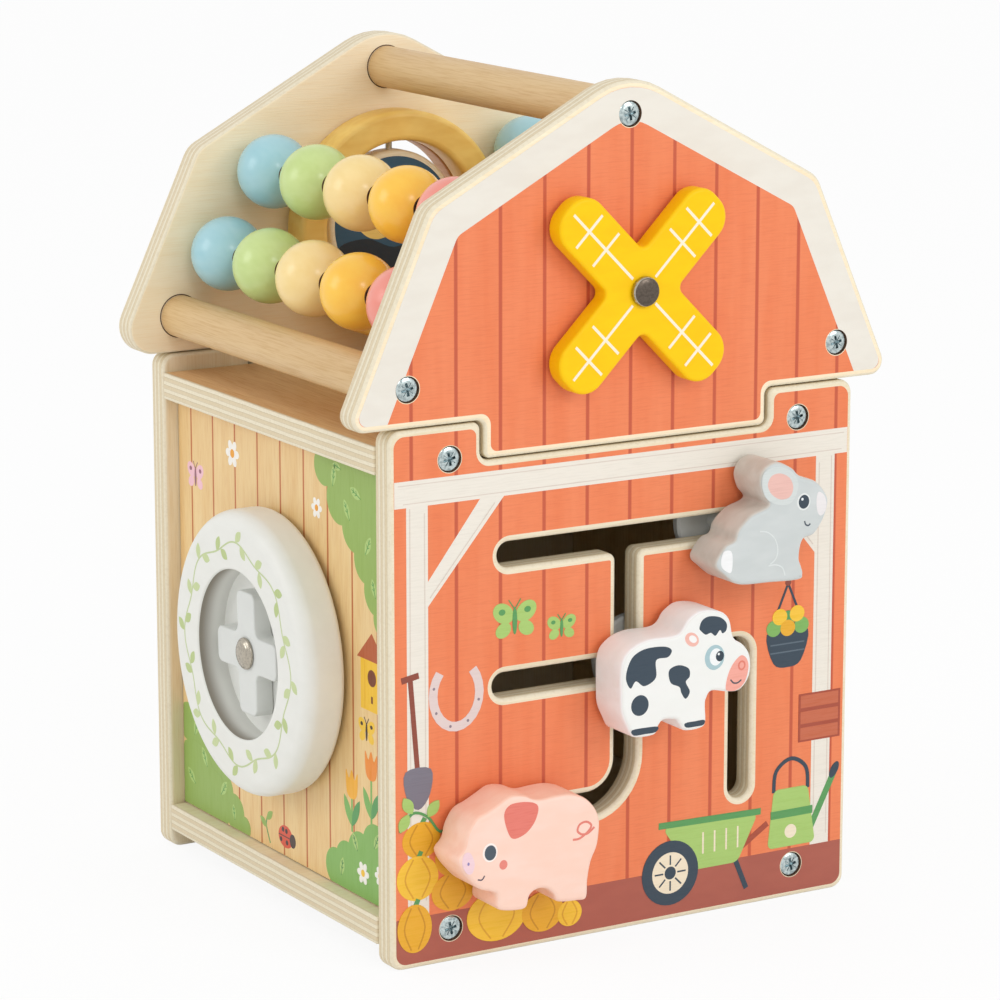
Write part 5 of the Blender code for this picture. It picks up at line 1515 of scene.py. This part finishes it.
lay_ink("side_pictures", side_motifs, -SIDE_FACE, "barn", ink_upright, "left", 0.03)
lay_ink("side_blossoms", [blossom(30, 27, 2.6, "#F6F3EA", OCHRE), blossom(18, 29, 2.2, "#F6F3EA", OCHRE)],
        -SIDE_FACE, "barn", ink_upright, "left", 0.2)

# %% [markdown]
# ## Studio
#
# A product picture is taken on white paper under large soft lamps: a strong one on the
# right, a small one in front and a weak one on the left. More light would also make the
# paper white, but it would bleach the wood, so the paper and the world are white only to
# the eye and to what mirrors them. The camera stands where the photograph was taken.

# %% Floor and world
def seen_directly(tree):
    """1 for what the eye sees, also by reflection in metal or through something clear."""
    rays = [add(tree, "LightPath", take=name) for name in ("Is Camera Ray", "Is Glossy Ray", "Is Transmission Ray")]
    either = add(tree, "Math", rays[:2], operation="MAXIMUM")
    return add(tree, "Math", [either, rays[2]], operation="MAXIMUM")


def white_floor(half_size, glow_share):
    # studio paper: matt, nearly white, with no texture that shows from a step away
    material, tree, shader = new_material("studio_paper")
    shader.inputs["Base Color"].default_value = (0.93, 0.93, 0.93, 1)
    tooth = add(tree, "TexNoise", {"Scale": 4.0})
    tree.links.new(add(tree, "MapRange", [tooth, 0.0, 1.0, 0.8, 1.0]), shader.inputs["Roughness"])
    glow = add(tree, "Emission", {"Color": (1, 1, 1, 1), "Strength": 1.0})
    share = add(tree, "Math", [seen_directly(tree), glow_share], operation="MULTIPLY")
    paper = add(tree, "MixShader", [share, shader.outputs[0], glow])
    tree.links.new(paper, tree.nodes["Material Output"].inputs["Surface"])
    work = bmesh.new()
    bmesh.ops.create_grid(work, x_segments=1, y_segments=1, size=half_size)
    floor = link("floor", mesh_from(work, "floor"))
    floor.data.materials.append(material)


def white_world(strength):
    world = bpy.data.worlds.new("studio")
    world.use_nodes = True
    tree = world.node_tree
    background = tree.nodes["Background"]
    background.inputs["Color"].default_value = (1, 1, 1, 1)
    level = add(tree, "MapRange", [seen_directly(tree), 0.0, 1.0, strength, 1.0])
    tree.links.new(level, background.inputs["Strength"])
    bpy.context.scene.world = world


white_floor(6.0, 0.9)
white_world(0.8)
print("floor and world are white")

# %% Lamps
LAMPS = {                   # place in metres, size in metres, power in watts
    "key_lamp": ((0.75, -1.75, 0.95), 0.8, 7.0),
    "front_lamp": ((-0.5, -1.55, 1.1), 0.3, 2.8),
    "left_lamp": ((-1.6, 0.6, 0.9), 0.8, 5),
}
AIM = Vector((0, 0, 0.14))

for name, (position, size, power) in LAMPS.items():
    light = bpy.data.lights.new(name, "AREA")
    light.size, light.energy = size, power
    lamp = link(name, light)
    lamp.location = position
    lamp.rotation_mode = "QUATERNION"
    lamp.rotation_quaternion = (AIM - Vector(position)).to_track_quat("-Z", "Y")
print(len(LAMPS), "lamps")

# %% Camera
lens = bpy.data.cameras.new("camera")
lens.lens, lens.clip_end = 147.5, 20
camera = link("camera", lens)
camera.location = (-0.7545, -1.2529, 0.4620)
camera.rotation_euler = (math.radians(77.632), 0, math.radians(-30.924))
bpy.context.scene.camera = camera
bpy.context.scene.view_settings.view_transform = "Standard"
print("the camera stands", round(camera.location.length, 2), "m away")
